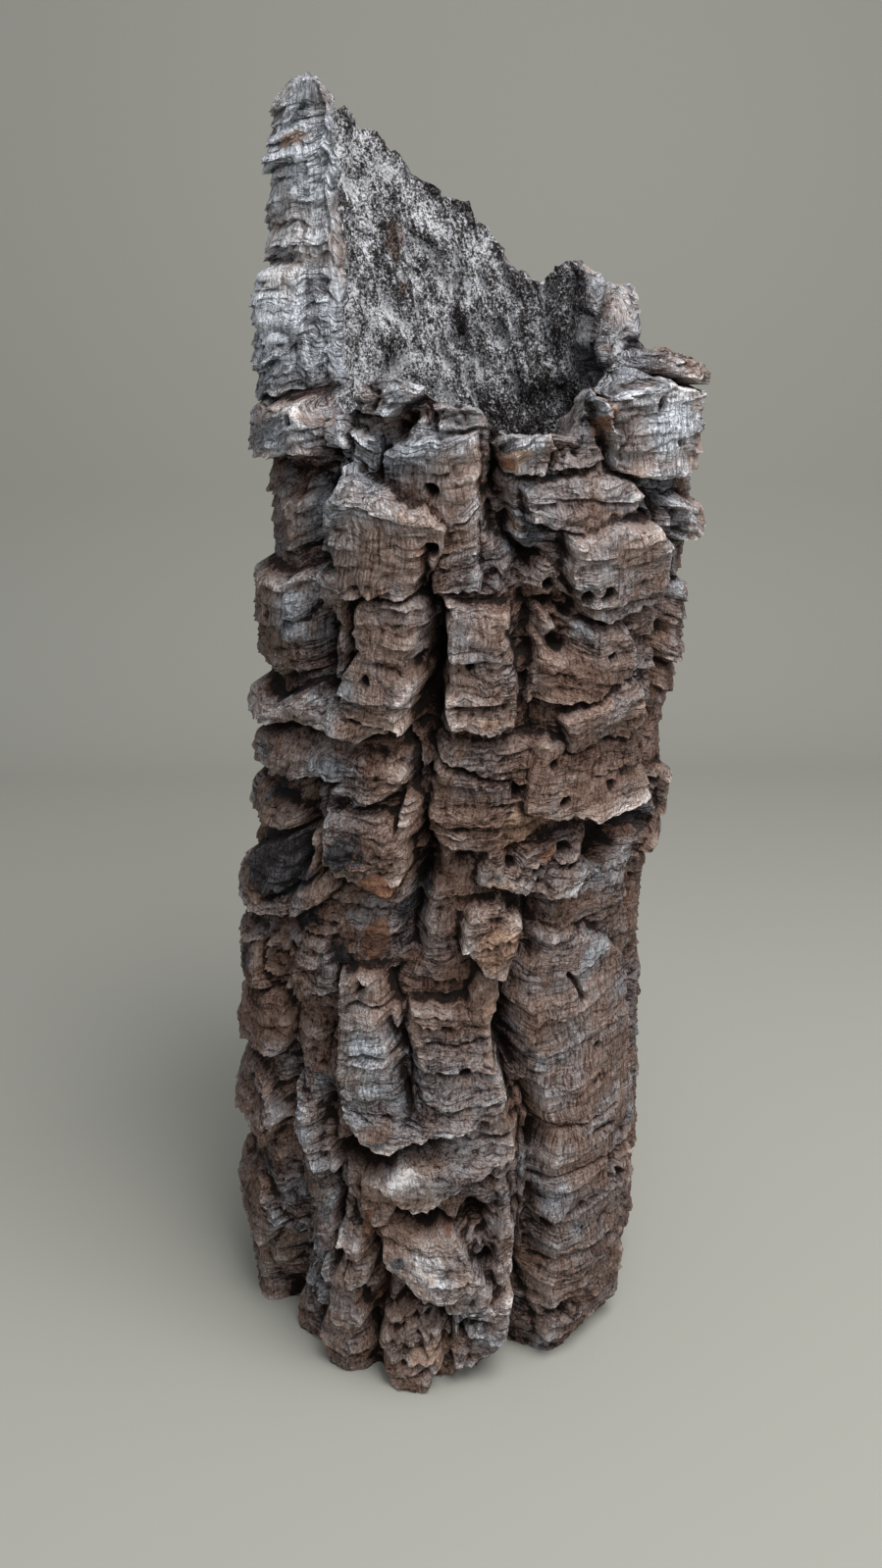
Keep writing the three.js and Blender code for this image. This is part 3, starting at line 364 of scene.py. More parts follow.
# Where the bark is smooth between widely spaced bands, in the same way
SMOOTH = [
    (42, 200, 74, 190, 1), (6, 255, 26, 44, 0.6), (-62, 745, 30, 60, 0.3), (50, 648, 60, 38, 1),
    (-24, 590, 36, 44, 0.8), (-57, 540, 46, 34, 0.6), (-12, 626, 26, 24, 0.6), (-25, 525, 26, 42, 0.5),
    (0, 520, 22, 34, 0.4), (30, 575, 44, 34, 0.5), (18, 445, 60, 30, 0.4), (-18, 266, 28, 50, 0.8),
    (-3, 116, 26, 22, 0.6), (-45, 452, 60, 16, 0.5), (-26, 60, 14, 40, 0.5),
]

# Where the bands run level, in the same way
LEVEL = [(44, 190, 78, 230, 1.0)]

# Where thin bands stand out crisply, in the same way
LAYERED = [
    (-68, 745, 90, 130, 1), (-56, 556, 60, 60, 0.4), (42, 200, 74, 190, 0.4), (-18, 270, 26, 60, 0.6),
    (180, 700, 300, 160, 0.6), (-140, 200, 120, 300, 0.4),
]

# Where the bark has rotted to a sponge, in the same way
SPONGE = [
    (-2, 46, 60, 60, 1), (-14, 395, 26, 24, 0.9), (-26, 668, 30, 16, 1), (22, 386, 40, 22, 1),
    (10, 130, 18, 30, 0.6), (14, 344, 24, 28, 0.8), (-45, 310, 30, 30, 0.9), (-40, 60, 26, 60, 0.7),
    (20, 545, 20, 22, 0.8), (4, 570, 18, 18, 0.8), (-10, 655, 40, 12, 0.8), (20, 634, 40, 12, 0.7),
    (-26, 100, 16, 40, 0.7), (10, 512, 20, 40, 0.4), (60, 400, 40, 30, 0.5), (-60, 200, 40, 60, 0.5),
    (56, 150, 26, 62, 0.7), (36, 42, 34, 20, 0.9), (180, 400, 60, 60, 0.5), (120, 200, 50, 40, 0.6),
]

# Patches of the bore by kind, the black ones painted shade and the brown ones stains: degrees, height, half
# width, half height, strength
BORE_PATCHES = {
    "black": [
        (134, 690, 90, 92, 1.4), (156, 648, 100, 56, 1.2), (-150, 640, 80, 30, 0.4),
        (-66, 760, 14, 90, 0.5),
    ],
    "brown": [
        (-148, 772, 22, 22, 0.9), (-152, 742, 16, 14, 0.6), (168, 745, 24, 12, 0.4),
    ],
}

# Colour patches of the bark by kind, a few of which are painted shade: degrees, height, half width, half
# height, strength
PATCHES = {
    "black": [
        (-53, 377, 60, 34, 1.6), (-44, 345, 26, 14, 0.8), (-60, 425, 30, 12, 0.8), (0, 214, 18, 7, 0.7),
        (-66, 300, 30, 26, 0.7), (-64, 130, 34, 34, 0.6), (-36, 30, 22, 30, 0.6), (0, 498, 16, 8, 0.5),
        (-12, 360, 16, 30, 0.7), (12, 590, 14, 8, 0.6), (-15, 209, 12, 9, 0.8), (-9, 188, 10, 7, 0.8),
        (-10, 112, 13, 10, 0.7), (84, 680, 36, 8, 0.9), (130, 728, 24, 20, 0.8), (-60, 820, 14, 8, 1),
        # (47, 404) and (66, 392) are painted shade in the big hollow on the right
        (-17, 663, 20, 6, 0.8), (47, 404, 50, 18, 0.9), (-27, 401, 28, 21, 0.75), (66, 392, 20, 22, 0.8),
        (140, 330, 50, 30, 0.7), (210, 520, 50, 30, 0.7), (-110, 200, 40, 40, 0.7),
        (-58, 196, 36, 24, 0.55), (-70, 96, 40, 26, 0.5), (-36, 348, 22, 14, 0.75), (-26, 326, 22, 12, 0.7),
        (-72, 240, 26, 20, 0.5), (-6, 366, 14, 18, 0.6), (-21, 196, 9, 8, 0.8),
    ],
    "fresh": [
        (6, 632, 16, 8, 1), (-15, 380, 16, 11, 1.2), (15, 418, 30, 24, 1.1), (13, 403, 14, 8, 0.9),
        (-50, 338, 16, 7, 0.9), (-20, 140, 12, 16, 0.8), (13, 342, 26, 30, 0.9), (13, 300, 14, 20, 0.6),
        (0, 34, 40, 30, 0.7), (27, 645, 6, 16, 0.9), (12, 380, 40, 14, 0.5), (-26, 184, 8, 7, 0.9),
        (30, 605, 26, 6, 0.5), (8, 595, 12, 8, 0.6), (-62, 810, 26, 8, 0.9), (30, 664, 8, 14, 0.8),
        (4, 96, 36, 20, 0.35), (170, 300, 40, 20, 0.5), (240, 420, 30, 20, 0.5), (116, 722, 30, 20, 0.5),
        (-2, 112, 22, 16, 0.45), (1, 490, 14, 6, 1),
    ],
    "rust": [
        (-17, 341, 13, 21, 1.8), (13, 404, 12, 10, 1.1), (-19, 383, 18, 10, 1.5), (5, 630, 9, 6, 0.7),
        (28, 654, 6, 18, 0.7), (32, 588, 30, 5, 0.5), (-24, 180, 10, 12, 1.3), (6, 54, 8, 9, 0.5),
        (-19, 128, 8, 12, 0.9), (-19, 146, 6, 12, 0.9), (22, 400, 12, 9, 0.9), (14, 52, 10, 8, 0.45),
        (-18, 62, 8, 24, 1.1), (4, 140, 7, 10, 0.8),
    ],
    "pale": [
        (-3, 32, 36, 34, 0.9), (-64, 818, 40, 26, 1.5), (20, 384, 44, 20, 0.8), (120, 738, 80, 44, 0.7),
        (-70, 760, 110, 130, 1), (51, 648, 54, 34, 0.75), (-22, 668, 26, 14, 1), (8, 640, 22, 16, 0.8),
        (-30, 608, 26, 14, 0.9), (-12, 645, 30, 10, 0.7), (-18, 268, 28, 64, 1.15), (4, 206, 44, 18, 0.6),
        (4, 60, 50, 60, 0.4), (32, 580, 44, 26, 0.6), (40, 300, 60, 70, 0.35), (-60, 650, 50, 20, 0.15),
        (-2, 112, 34, 28, 1.5), (8, 64, 34, 26, 1.2), (-8, 177, 28, 14, 1.6), (-55, 556, 40, 16, 0.6),
        (34, 490, 40, 14, 0.5),
    ],
    "blue": [
        (-60, 700, 60, 26, 0.8), (-56, 650, 50, 18, 0.7), (-46, 596, 24, 18, 0.9), (-55, 545, 40, 24, 0.5),
        (-36, 452, 26, 12, 0.8), (50, 645, 46, 22, 0.5), (-20, 640, 30, 14, 0.5), (42, 320, 40, 16, 0.2),
    ],
    "brown": [
        (-13, 420, 16, 20, 0.9), (14, 500, 50, 130, 0.55), (20, 420, 90, 50, 0.5), (0, 60, 80, 90, 0.45),
        (-45, 320, 40, 60, 0.6), (-50, 625, 40, 10, 0.9), (62, 500, 30, 30, 0.6), (40, 80, 60, 90, 0.3),
        # (50, 395) is painted shade that darkens the big hollow on the right
        (50, 395, 50, 31, 3.6), (20, 388, 50, 26, 0.9), (0, 415, 120, 60, 0.6), (-62, 664, 60, 12, 0.9),
        # (-42, 656) is painted shade that darkens a brightly lit face
        (-42, 656, 26, 14, 1.6), (14, 340, 30, 40, 0.7), (72, 688, 80, 18, 1.6), (122, 735, 60, 40, 0.2),
        (116, 730, 40, 30, 0.6), (-22, 462, 24, 16, 0.9), (18, 112, 12, 60, 0.9), (9.5, 142, 12, 18, 1.6),
    ],
}


def smooth(x):
    """A step from 0 to 1 with soft ends."""
    x = np.clip(x, 0, 1)
    return x * x * (3 - 2 * x)


def wrap(degrees):
    """Degrees brought to the range from -180 to 180."""
    return (np.asarray(degrees) + 180) % 360 - 180


def chance(i, j, k, seed):
    """Random whole numbers that depend only on three whole numbers and a seed."""
    i, j, k = (np.asarray(n).astype(np.int64).astype(np.uint32) for n in (i, j, k))
    start = np.uint32(seed * 1013904223 & 0xFFFFFFFF)
    h = i * np.uint32(374761393) + j * np.uint32(668265263) + k * np.uint32(1440662683) + start
    h = (h ^ (h >> np.uint32(13))) * np.uint32(1274126177)
    return h ^ (h >> np.uint32(16))


def chance_share(i, j, k, seed):
    """The same as numbers from 0 to 1."""
    return chance(i, j, k, seed) / 4294967295.0


def noise(points, size, seed):
    """Smooth noise of about -1 to 1 at points, whose lumps have one size, or one size along each axis."""
    scaled = points / np.asarray(size, dtype=float)
    cell = np.floor(scaled)
    part = scaled - cell
    fade = smooth(part)
    total = np.zeros(points.shape[:-1])
    for corner in range(8):
        step = np.array([corner & 1, corner >> 1 & 1, corner >> 2])
        share = np.prod(np.where(step, fade, 1 - fade), axis=-1)
        h = chance(*(cell[..., n] + step[n] for n in range(3)), seed)
        away = part - step
        for n in range(3):
            slope = (h >> np.uint32(8 * n) & np.uint32(255)) / 127.5 - 1
            total += share * slope * away[..., n]
    return 1.5 * total


def lumps(points, size, height, octaves, seed):
    """Noise in several sizes, each half of the one before."""
    return sum(height / 2**n * noise(points, np.asarray(size) / 2**n, seed + n) for n in range(octaves))


def surface_points(degrees, z):
    """Points on a plain cylinder, at which the noise is read."""
    turn = np.radians(degrees)
    return np.stack([ARC_RADIUS * np.sin(turn), ARC_RADIUS * np.cos(turn), z], axis=-1)


def table_column(table, x, column):
    """Straight-line interpolation of one column of a table whose first column is x."""
    return np.interp(x, [row[0] for row in table], [row[column] for row in table])


def floor_radius(degrees, z):
    """Radius of the bark before anything stands out of it."""
    total = 0
    for column, side in enumerate((0, 90, 180, -90), 1):
        share = np.clip(np.cos(np.radians(degrees - side)), 0, 1) ** 2
        total = total + share * table_column(GIRTH, z, column)
    return total


def all_plates():
    """The plates of the front, and the turned and mirrored copies at the sides and the back."""
    plates = list(PLATES.values())
    for names, turn, rise, mirrored in BACK_PLATES:
        sign = -1 if mirrored else 1
        for name in names:
            top, bottom, edge, outline = PLATES[name]
            plates.append((top, bottom, edge, [(turn + sign * d, z + rise) for d, z in outline]))
    return plates


def inside_by(outline, degrees, z):
    """Distance in mm from a closed outline, positive inside it."""
    middle = sum(d for d, _ in outline) / len(outline)
    x = (middle + wrap(degrees - middle)) * ARC
    nearest = np.full(x.shape, np.inf)
    inside = np.zeros(x.shape, dtype=bool)
    for (ax, az), (bx, bz) in zip(outline, outline[1:] + outline[:1]):
        ax, bx = ax * ARC, bx * ARC
        along = (x - ax) * (bx - ax) + (z - az) * (bz - az)
        share = np.clip(along / ((bx - ax) ** 2 + (bz - az) ** 2), 0, 1)
        away = np.hypot(x - ax - share * (bx - ax), z - az - share * (bz - az))
        nearest = np.minimum(nearest, away)
        if az != bz:
            inside ^= ((az > z) != (bz > z)) & (x < ax + (z - az) / (bz - az) * (bx - ax))
    return np.where(inside, nearest, -nearest)


def plate_rise(degrees, z):
    """How far the plates stand out, and how far the bands on each are tilted and bowed.

    A plate has a crisp lower edge, a softer upper one and a slightly domed face.
    """
    rise = np.zeros(degrees.shape)
    shift = np.zeros(degrees.shape)
    for number, (top, bottom, edge, outline) in enumerate(all_plates()):
        low = min(p[1] for p in outline)
        high = max(p[1] for p in outline)
        middle = sum(p[0] for p in outline) / len(outline)
        half = max(abs(p[0] - middle) for p in outline)
        near = (z > low - edge) & (z < high + edge) & (np.abs(wrap(degrees - middle)) < half + 4)
        if not near.any():
            continue
        d, h = degrees[near], z[near]
        up = np.clip((h - low) / (high - low), 0, 1)
        softness = edge * (0.3 + 0.45 * up)
        away = inside_by(outline, d, h)
        face = smooth(away / softness + 0.5) * (0.92 + 0.12 * (1 - np.exp(-np.maximum(away, 0) / 8)))
        x = wrap(d - middle) / half
        tilt, bow = (chance_share(number, n, 5, 4) - 0.5 for n in (1, 2))
        lifted = face * (bottom + (top - bottom) * up)
        rise[near] = np.maximum(rise[near], lifted)
        shift[near] += np.where(away > 0, PLATE_TILT * tilt * x + PLATE_BOW * bow * x * x, 0)
    return rise, shift


def fissure_depth(degrees, z, points):
    """Depth of the fissures, which open and close on their way and have a narrow cleft in the middle."""
    depth = np.zeros(degrees.shape)
    opening = 0.5 + 0.75 * smooth(0.5 + 1.1 * noise(points, (34, 34, 46), 41))
    cleft = 0.45 * smooth(0.45 + 1.5 * noise(points, (16, 16, 22), 42))
    stray = (4.5 * noise(points, 24, 43) + 2.0 * noise(points, 9, 44)) / ARC
    for line in FISSURES:
        away = np.abs(wrap(degrees + stray - table_column(line, z, 1)))
        deep = table_column(line, z, 2) * opening
        half = table_column(line, z, 3) * (0.75 + 0.5 * opening)
        trough = 0.75 * (1 - smooth(away / half))
        slit = cleft * np.exp(-((away * ARC / CLEFT_WIDTH) ** 2))
        depth = np.maximum(depth, deep * (trough + slit))
    return depth


def cells(degrees, z, wide, tall, seed):
    """Cells of about one size: a random number for each, how far above its middle a place is, and its border.

    The border is the distance to the nearest other cell, 0 where they meet and about 1 in the middle.
    """
    count = round(360 * ARC / wide)
    across, along = (degrees + 180) / 360 * count, z / tall
    column, row = np.floor(across), np.floor(along)
    first, second = np.full(z.shape, 9.0), np.full(z.shape, 9.0)
    number, up = np.zeros(z.shape), np.zeros(z.shape)
    for i in (-1, 0, 1):
        for j in (-1, 0, 1):
            h = chance(np.mod(column + i, count), row + j, 1, seed)
            x = column + i + 0.1 + 0.8 * (h & np.uint32(1023)) / 1023 - across
            y = row + j + 0.1 + 0.8 * (h >> np.uint32(10) & np.uint32(1023)) / 1023 - along
            away = np.hypot(x, y)
            closer = away < first
            second = np.where(closer, first, np.minimum(second, away))
            number = np.where(closer, (h >> np.uint32(20) & np.uint32(1023)) / 1023, number)
            up = np.where(closer, -y, up)
            first = np.where(closer, away, first)
    return number, up, second - first


def chunk_rise(degrees, z, crumbling):
    """Pieces of crumbling bark: each stands out or in, leans out at its foot and has a crack round it."""
    rise = np.zeros(z.shape)
    for wide, tall, out, seed in CHUNKS:
        number, up, border = cells(degrees, z, wide, tall, seed)
        rise += out * (1.5 * number - 0.75 - 0.7 * up) - 0.9 * out * np.exp(-((border / 0.16) ** 2))
    return rise * (CHUNKS_EVERYWHERE + (1 - CHUNKS_EVERYWHERE) * crumbling)


def spots(table, degrees, z):
    """Soft oval spots, as the strongest at each place."""
    strength = np.zeros(degrees.shape)
    for at, height, half_width, half_height, strong in table:
        near = (np.abs(z - height) < half_height) & (np.abs(wrap(degrees - at)) * ARC < half_width)
        x = wrap(degrees[near] - at) * ARC / half_width
        y = (z[near] - height) / half_height
        strength[near] = np.maximum(strength[near], strong * (1 - smooth(np.hypot(x, y))))
    return strength


def hole_depth(degrees, z):
    """Insect holes, with sharp round mouths."""
    depth = np.zeros(degrees.shape)
    for at, height, radius in INSECT_HOLES:
        near = (np.abs(z - height) < radius + 2) & (np.abs(wrap(degrees - at)) * ARC < radius + 2)
        away = np.hypot(wrap(degrees[near] - at) * ARC, z[near] - height)
        depth[near] = np.maximum(depth[near], 2.6 * radius * smooth((radius + 0.8 - away) / 1.6))
    return depth


def crack_depth(degrees, z):
    """Cracks along their lines."""
    depth = np.zeros(degrees.shape)
    for deep, half, line in CRACKS:
        for (a, az), (b, bz) in zip(line, line[1:]):
            middle, reach = (a + b) / 2, abs(a - b) / 2 + 3
            near = (np.abs(wrap(degrees - middle)) < reach) & (z > min(az, bz) - 6) & (z < max(az, bz) + 6)
            x = wrap(degrees[near] - a) * ARC
            bx, h = (b - a) * ARC, z[near] - az
            share = np.clip((x * bx + h * (bz - az)) / (bx**2 + (bz - az) ** 2), 0, 1)
            away = np.hypot(x - share * bx, h - share * (bz - az))
            depth[near] = np.maximum(depth[near], deep * (1 - smooth(away / (2 * half))))
    return depth


def band_rise(degrees, z, points, smoothness, layering, levelness):
    """The lips of the growth bands: each band is fullest at its lower edge and recedes upwards."""
    ridge = sum((wrap(degrees - table_column(line, z, 1)) > 0).astype(int) for line in FISSURES)
    rise = np.zeros(degrees.shape)
    for height, out, wander, seed in BANDS:
        shift = wander * noise(points, (60, 60, 90), seed) + 0.15 * wander * noise(points, 16, seed + 40)
        shift += 0.4 * height * noise(points, (120, 120, 1.6 * height), seed + 60)
        shift *= 1 - 0.65 * levelness
        level = (z + shift) / height + chance_share(ridge, seed, 3, 7)
        band = np.floor(level)
        up = level - band
        fullness = chance_share(band, ridge, seed, 9) * (0.7 + 1.1 * noise(points, (26, 26, 40), seed + 80))
        lip = (1 - up) ** 1.3 * smooth(up * height / 1.3) - 0.4
        strength = 1 - 0.3 * smoothness if height > 20 else 1 - 0.65 * smoothness + 0.8 * layering
        rise += out * (0.15 + np.clip(fullness, 0, 1.3)) * lip * strength
    return rise


def sponge_depth(points, strength):
    """Small ragged holes where the bark has rotted."""
    coarse = smooth((noise(points, (13, 13, 10), 61) - 0.10) / 0.3)
    fine = smooth((noise(points, 5.5, 62) - 0.15) / 0.3)
    return strength * (9 * coarse + 4 * fine)


def bore_radius(points):
    """Radius of the bore, with the lengthwise fibres of its wood side, small pits and low ledges."""
    slanted = points + np.stack([0.45 * points[..., 2], 0 * points[..., 2], 0 * points[..., 2]], axis=-1)
    fibres = 1.0 * noise(slanted, (6, 6, 26), 71) + 0.7 * noise(slanted, (3, 3, 11), 72)
    pits = 2.6 * smooth((noise(slanted, (6, 6, 9), 73) - 0.3) / 0.25)
    ledges = 3 * smooth((noise(slanted, (26, 26, 40), 75) - 0.05) / 0.12)
    broad = BORE + 3 * noise(points, 70, 3) + lumps(slanted, (20, 20, 30), 6, 3, 74)
    return broad + fibres + pits + ledges - 1.2


def curl(degrees, z):
    """How strongly the wall curls into the bore at a place."""
    at, height, half_width, half_height, _ = CURL
    return spots([(at, height, half_width, half_height, 1)], degrees, z)


def lean(z):
    """How far the tube has moved to the right at a height."""
    return FOOT_X + LEAN * smooth((z - LEAN_FROM) / (LEAN_TO - LEAN_FROM))


def break_rounding(degrees, z):
    """Share of its thickness that the bark keeps beside the upright break, towards which it thins."""
    inwards = np.interp(z, [h for _, h in BREAK_LINE], [d for d, _ in BREAK_LINE]) - degrees
    thinned = (1 - smooth(inwards / BREAK_ROUND)) * (inwards > -4) * smooth((z - BREAK_LINE[0][1]) / 15)
    return 1 - 0.72 * thinned


def foot_height(degrees):
    """Height of the sawn end above the ground."""
    notches = (rise * (1 - smooth(np.abs(wrap(degrees - at)) / half)) for at, half, rise in FOOT_NOTCHES)
    return np.maximum.reduce(list(notches))


def column_angles():
    """Angles of the mesh's columns, closer at the front and where the broken edge is steep."""
    angles = [-180.0]
    while angles[-1] < 180 - BACK_STEP:
        at = angles[-1]
        step = FRONT_STEP if abs(at) < FRONT else BACK_STEP
        here = table_column(RIM, at, 1)
        while step > LEAST_STEP and abs(table_column(RIM, at + step, 1) - here) > STEEP_STEP:
            step *= 0.8
        angles.append(at + step)
    return np.array(angles + [180.0])


class Strips:
    """The tube as one sheet of rows: up the bark, over the torn edge, down the bore and over the sawn end."""

    def __init__(self, overhang, lip_overhang):
        self.overhang = overhang
        self.lip_overhang = lip_overhang
        self.angles = column_angles()
        around = surface_points(self.angles, 0 * self.angles)
        ragged = sum(far * noise(around, size, 91 + n) for n, (far, size) in enumerate(RAGGED))
        self.rim_bark = table_column(RIM, self.angles, 1) + ragged
        self.rim_bore = table_column(RIM, self.angles, 2) + ragged + 1.5 * noise(around, 4, 94)

    def levels(self, rows_below, rows_above, rim):
        """Heights of one wall's rows, which close up towards the broken edge."""
        below = np.linspace(0, SPLIT, rows_below, endpoint=False)[:, None] + 0 * rim
        above = SPLIT + np.linspace(0, 1, rows_above + 1)[:, None] * (rim - SPLIT)
        levels = np.concatenate([below, above])
        levels[0] = foot_height(self.angles)
        return levels

    def bark(self):
        """Points of the bark, the places at which its grain is read, and what colours it."""
        z = self.levels(ROWS_BELOW, ROWS_ABOVE, self.rim_bark)
        degrees = np.broadcast_to(self.angles, z.shape)
        points = surface_points(degrees, z)

        # The place (d, h) with its wander, at which plates, fissures and stains are looked up
        across = sum(far * noise(points, size, 11 + n) for n, (far, size) in enumerate(WANDER))
        along = sum(far * noise(points, size, 16 + n) for n, (far, size) in enumerate(WANDER))
        d, h = degrees + across / ARC, z + along
        base = floor_radius(degrees, z)
        plates, shift = plate_rise(d, h)
        fissures = fissure_depth(d, h, points)

        # How spongy, smooth or crumbling the bark is
        sponge = np.clip(spots(SPONGE, d, h) + 0.3 * noise(points, 50, 20), 0, 1)
        smoothness = spots(SMOOTH, degrees, z)
        bare = 1 - smooth(plates / 6)
        crumbling = sponge + 0.2 * bare + 0.03 * fissures + 0.5 * noise(points, 34, 22) - 0.1
        crumbling = np.clip(crumbling - spots(SOUND, degrees, z), 0, 1)

        # Broad relief, then fine relief
        broad = plates - fissures + lumps(points, 40, 3.5, 2, 1) * (1 - 0.5 * smoothness)
        shift = shift * (1 - 0.8 * smoothness)
        banded = z + BAND_WANDER * along + shift
        layering = spots(LAYERED, degrees, z)
        levelness = spots(LEVEL, degrees, z)
        fine = band_rise(d, banded, points, smoothness, layering, levelness) * (1 - 0.5 * sponge)
        fine += chunk_rise(d, h + 0.5 * shift, crumbling)
        grit = 1.1 * noise(points, (5, 5, 6), 18) + 0.9 * noise(points, (2.6, 2.6, 3.2), 19)
        fine += grit * (1 + crumbling - 0.6 * smoothness)
        holes = hole_depth(degrees, z)
        cracks = crack_depth(d, h)
        fine -= spots(PITS, d, h) + cracks + sponge_depth(points, sponge) + holes

        # The radius, with at least the thinnest wall round the bore, and how far each place sags
        lowest = bore_radius(points) + THINNEST_WALL - CURL[-1] * curl(degrees, z)
        rounding = break_rounding(degrees, z)
        core = lowest + np.maximum(base + broad - lowest, 0) * rounding
        radius = np.maximum(core + fine * (0.35 + 0.65 * rounding), lowest)
        near_rim = np.clip((self.rim_bark - SPLIT) / (HEIGHT - SPLIT), 0, 1)
        looseness = smooth(z / FIRM_FOOT) * np.where(z > SPLIT, near_rim, 1)
        sag = self.overhang * np.maximum(broad, -DEEPEST_HOLLOW)
        sag = looseness * (sag + self.lip_overhang * np.maximum(fine, -DEEPEST_LIP_HOLLOW))

        # Marks for the colours
        even = np.clip(smoothness + 0.35 * spots(SOUND, degrees, z), 0, 1) * (1 - crumbling)
        marks = {"sponge": crumbling, "even": even, "layered": layering}
        # Painted shade in the insect holes and the deep cracks
        marks["hole"] = np.clip(holes / 4 + 0.85 * smooth((cracks - 4) / 7), 0, 1)
        for kind, patches in PATCHES.items():
            marks[kind] = spots(patches, d, h)
        for name, reach in HEIGHT_MARKS.items():
            marks[name] = radius - self.blurred(radius, reach)
        return self.place(degrees, radius, z - sag), self.roll(d, radius, h + shift), marks

    @staticmethod
    def blurred(field, reach):
        """The field averaged over a box of rows and columns."""
        for axis in (0, 1):
            pad = [(reach + 1, reach) if n == axis else (0, 0) for n in (0, 1)]
            total = np.cumsum(np.pad(field, pad, mode="wrap" if axis else "edge"), axis=axis)
            size = field.shape[axis]
            high = np.take(total, range(2 * reach + 1, 2 * reach + 1 + size), axis=axis)
            low = np.take(total, range(size), axis=axis)
            field = (high - low) / (2 * reach + 1)
        return field

    @staticmethod
    def roll(degrees, radius, z):
        """Points of a plain upright tube."""
        turn = np.radians(degrees)
        return np.stack([radius * np.sin(turn), -radius * np.cos(turn), z], axis=-1)

    @staticmethod
    def place(degrees, radius, z):
        """Points of the tube where it stands."""
        return Strips.roll(degrees, radius, z) + np.stack([lean(z), 0 * z + FOOT_Y, 0 * z], axis=-1)

    def bore(self):
        """Points of the bore, from the broken edge down, the places of its grain, and what colours it."""
        z = self.levels(BORE_ROWS_BELOW, BORE_ROWS_ABOVE, self.rim_bore)[::-1]
        degrees = np.broadcast_to(self.angles, z.shape)
        curled = curl(degrees, z)
        points = surface_points(degrees, z)
        radius = bore_radius(points) - CURL[-1] * curled
        radius += smooth(2 * curled) * lumps(points, (24, 24, 15), 9, 4, 76)
        marks = {"inside": 1 - smooth(2 * curled), "middle_height": self.blurred(radius, BORE_REACH) - radius}
        for kind, patches in BORE_PATCHES.items():
            marks[kind] = spots(patches, degrees, z)
        # Painted shade along the bore's rim, added to the bore's black mark
        edge = RIM_SHADE * smooth(1 - (self.rim_bore - z) / RIM_SHADE_DEPTH) * marks["inside"]
        marks["black"] = np.maximum(marks["black"], edge)
        return self.place(degrees, radius, z), self.roll(degrees, radius, z), marks

    def torn(self, outer, inner, outer_grain, inner_grain):
        """Points of the torn edge between the bark's and the bore's rims, and the places of its grain."""
        share = np.linspace(0, 1, TORN_ROWS + 2)[1:-1, None, None]
        points = outer * (1 - share) + inner * share
        bulge = np.sin(np.pi * share[..., 0])
        width = np.linalg.norm(outer - inner, axis=-1)
        rough = smooth(3 * bulge)
        turn = np.radians(self.angles)
        curled = curl(self.angles, self.rim_bore)
        layers = rough * (lumps(points, (12, 12, 7), 3.2, 3, 53) + 1.2 * noise(points, (30, 30, 3), 57))
        layers += rough * curled * lumps(points, (20, 20, 14), 9, 3, 77)
        points[..., 0] += layers * np.cos(turn)
        points[..., 1] += layers * np.sin(turn)
        points[..., 2] += (0.06 + 0.22 * curled) * width * bulge + rough * lumps(points, 13, 3.4, 3, 51)
        points[..., 2] += rough * (0.06 + 0.25 * curled) * width * noise(points, 20, 55)
        grain = outer_grain * (1 - share) + inner_grain * share
        grain[..., 2] += 0.3 * width * bulge
        return points, grain

    def sawn(self, inner, outer):
        """Points of the sawn end."""
        share = np.linspace(0, 1, FOOT_ROWS + 2)[1:-1, None, None]
        return inner * (1 - share) + outer * share


def build_sheet(rows, columns):
    """A plain grid with the given numbers of vertices, which becomes the tube."""
    bm = bmesh.new()
    bmesh.ops.create_grid(bm, x_segments=columns - 1, y_segments=rows - 1, size=0.5)
    mesh = bpy.data.meshes.new(NODE)
    bm.to_mesh(mesh)
    bm.free()
    return mesh


def write_marks(mesh, name, values):
    """Stores one number, or one place, for each vertex."""
    kind, field = ("FLOAT_VECTOR", "vector") if values.ndim == 3 else ("FLOAT", "value")
    layer = mesh.attributes.new(name, kind, "POINT")
    layer.data.foreach_set(field, np.ascontiguousarray(values, dtype=np.float32).ravel())


def close_sheet(mesh):
    """Joins the sheet's edges, so that it is one closed skin that faces outwards."""
    bm = bmesh.new()
    bm.from_mesh(mesh)
    bmesh.ops.remove_doubles(bm, verts=bm.verts, dist=MERGE_DISTANCE)
    bmesh.ops.recalc_face_normals(bm, faces=bm.faces)
    bm.to_mesh(mesh)
    bm.free()


def sheet_marks(points, angles, bark_marks, bore_marks):
    """The marks of the whole sheet: the bark's and the bore's, blended over the torn edge."""
    bore_shape = bore_marks["inside"].shape
    bark_rows = len(bark_marks["sponge"])
    torn = slice(bark_rows, bark_rows + TORN_ROWS)
    lining = slice(torn.stop, torn.stop + bore_shape[0])
    across = np.linspace(0, 1, TORN_ROWS + 2)[1:-1, None]
    marks = {}
    for kind, field in bark_marks.items():
        bore_field = bore_marks.get(kind, np.zeros(bore_shape))
        share = TORN_HEIGHT_SHARE if kind in HEIGHT_MARKS else 1
        marks[kind] = np.zeros(points.shape[:2])
        marks[kind][: torn.start] = field
        marks[kind][torn] = field[-1] * (1 - across) * share + bore_field[0] * across**2
        marks[kind][lining] = bore_field
        marks[kind][-1] = field[0]
    inside = np.zeros(points.shape[:2])
    inside[torn] = smooth(np.linspace(-1.6, 1, TORN_ROWS))[:, None]
    inside[lining] = bore_marks["inside"]
    seen = np.zeros(points.shape[:2])
    seen[: torn.stop] = np.abs(angles) < FRONT
    high = (points[..., 2] > SEEN_BORE_ABOVE * MM) & (np.abs(angles) > SEEN_BORE_BESIDE)
    seen[torn.start :] = np.maximum(seen[torn.start :], high[torn.start :])
    return marks | {"inside": inside, "seen": seen}


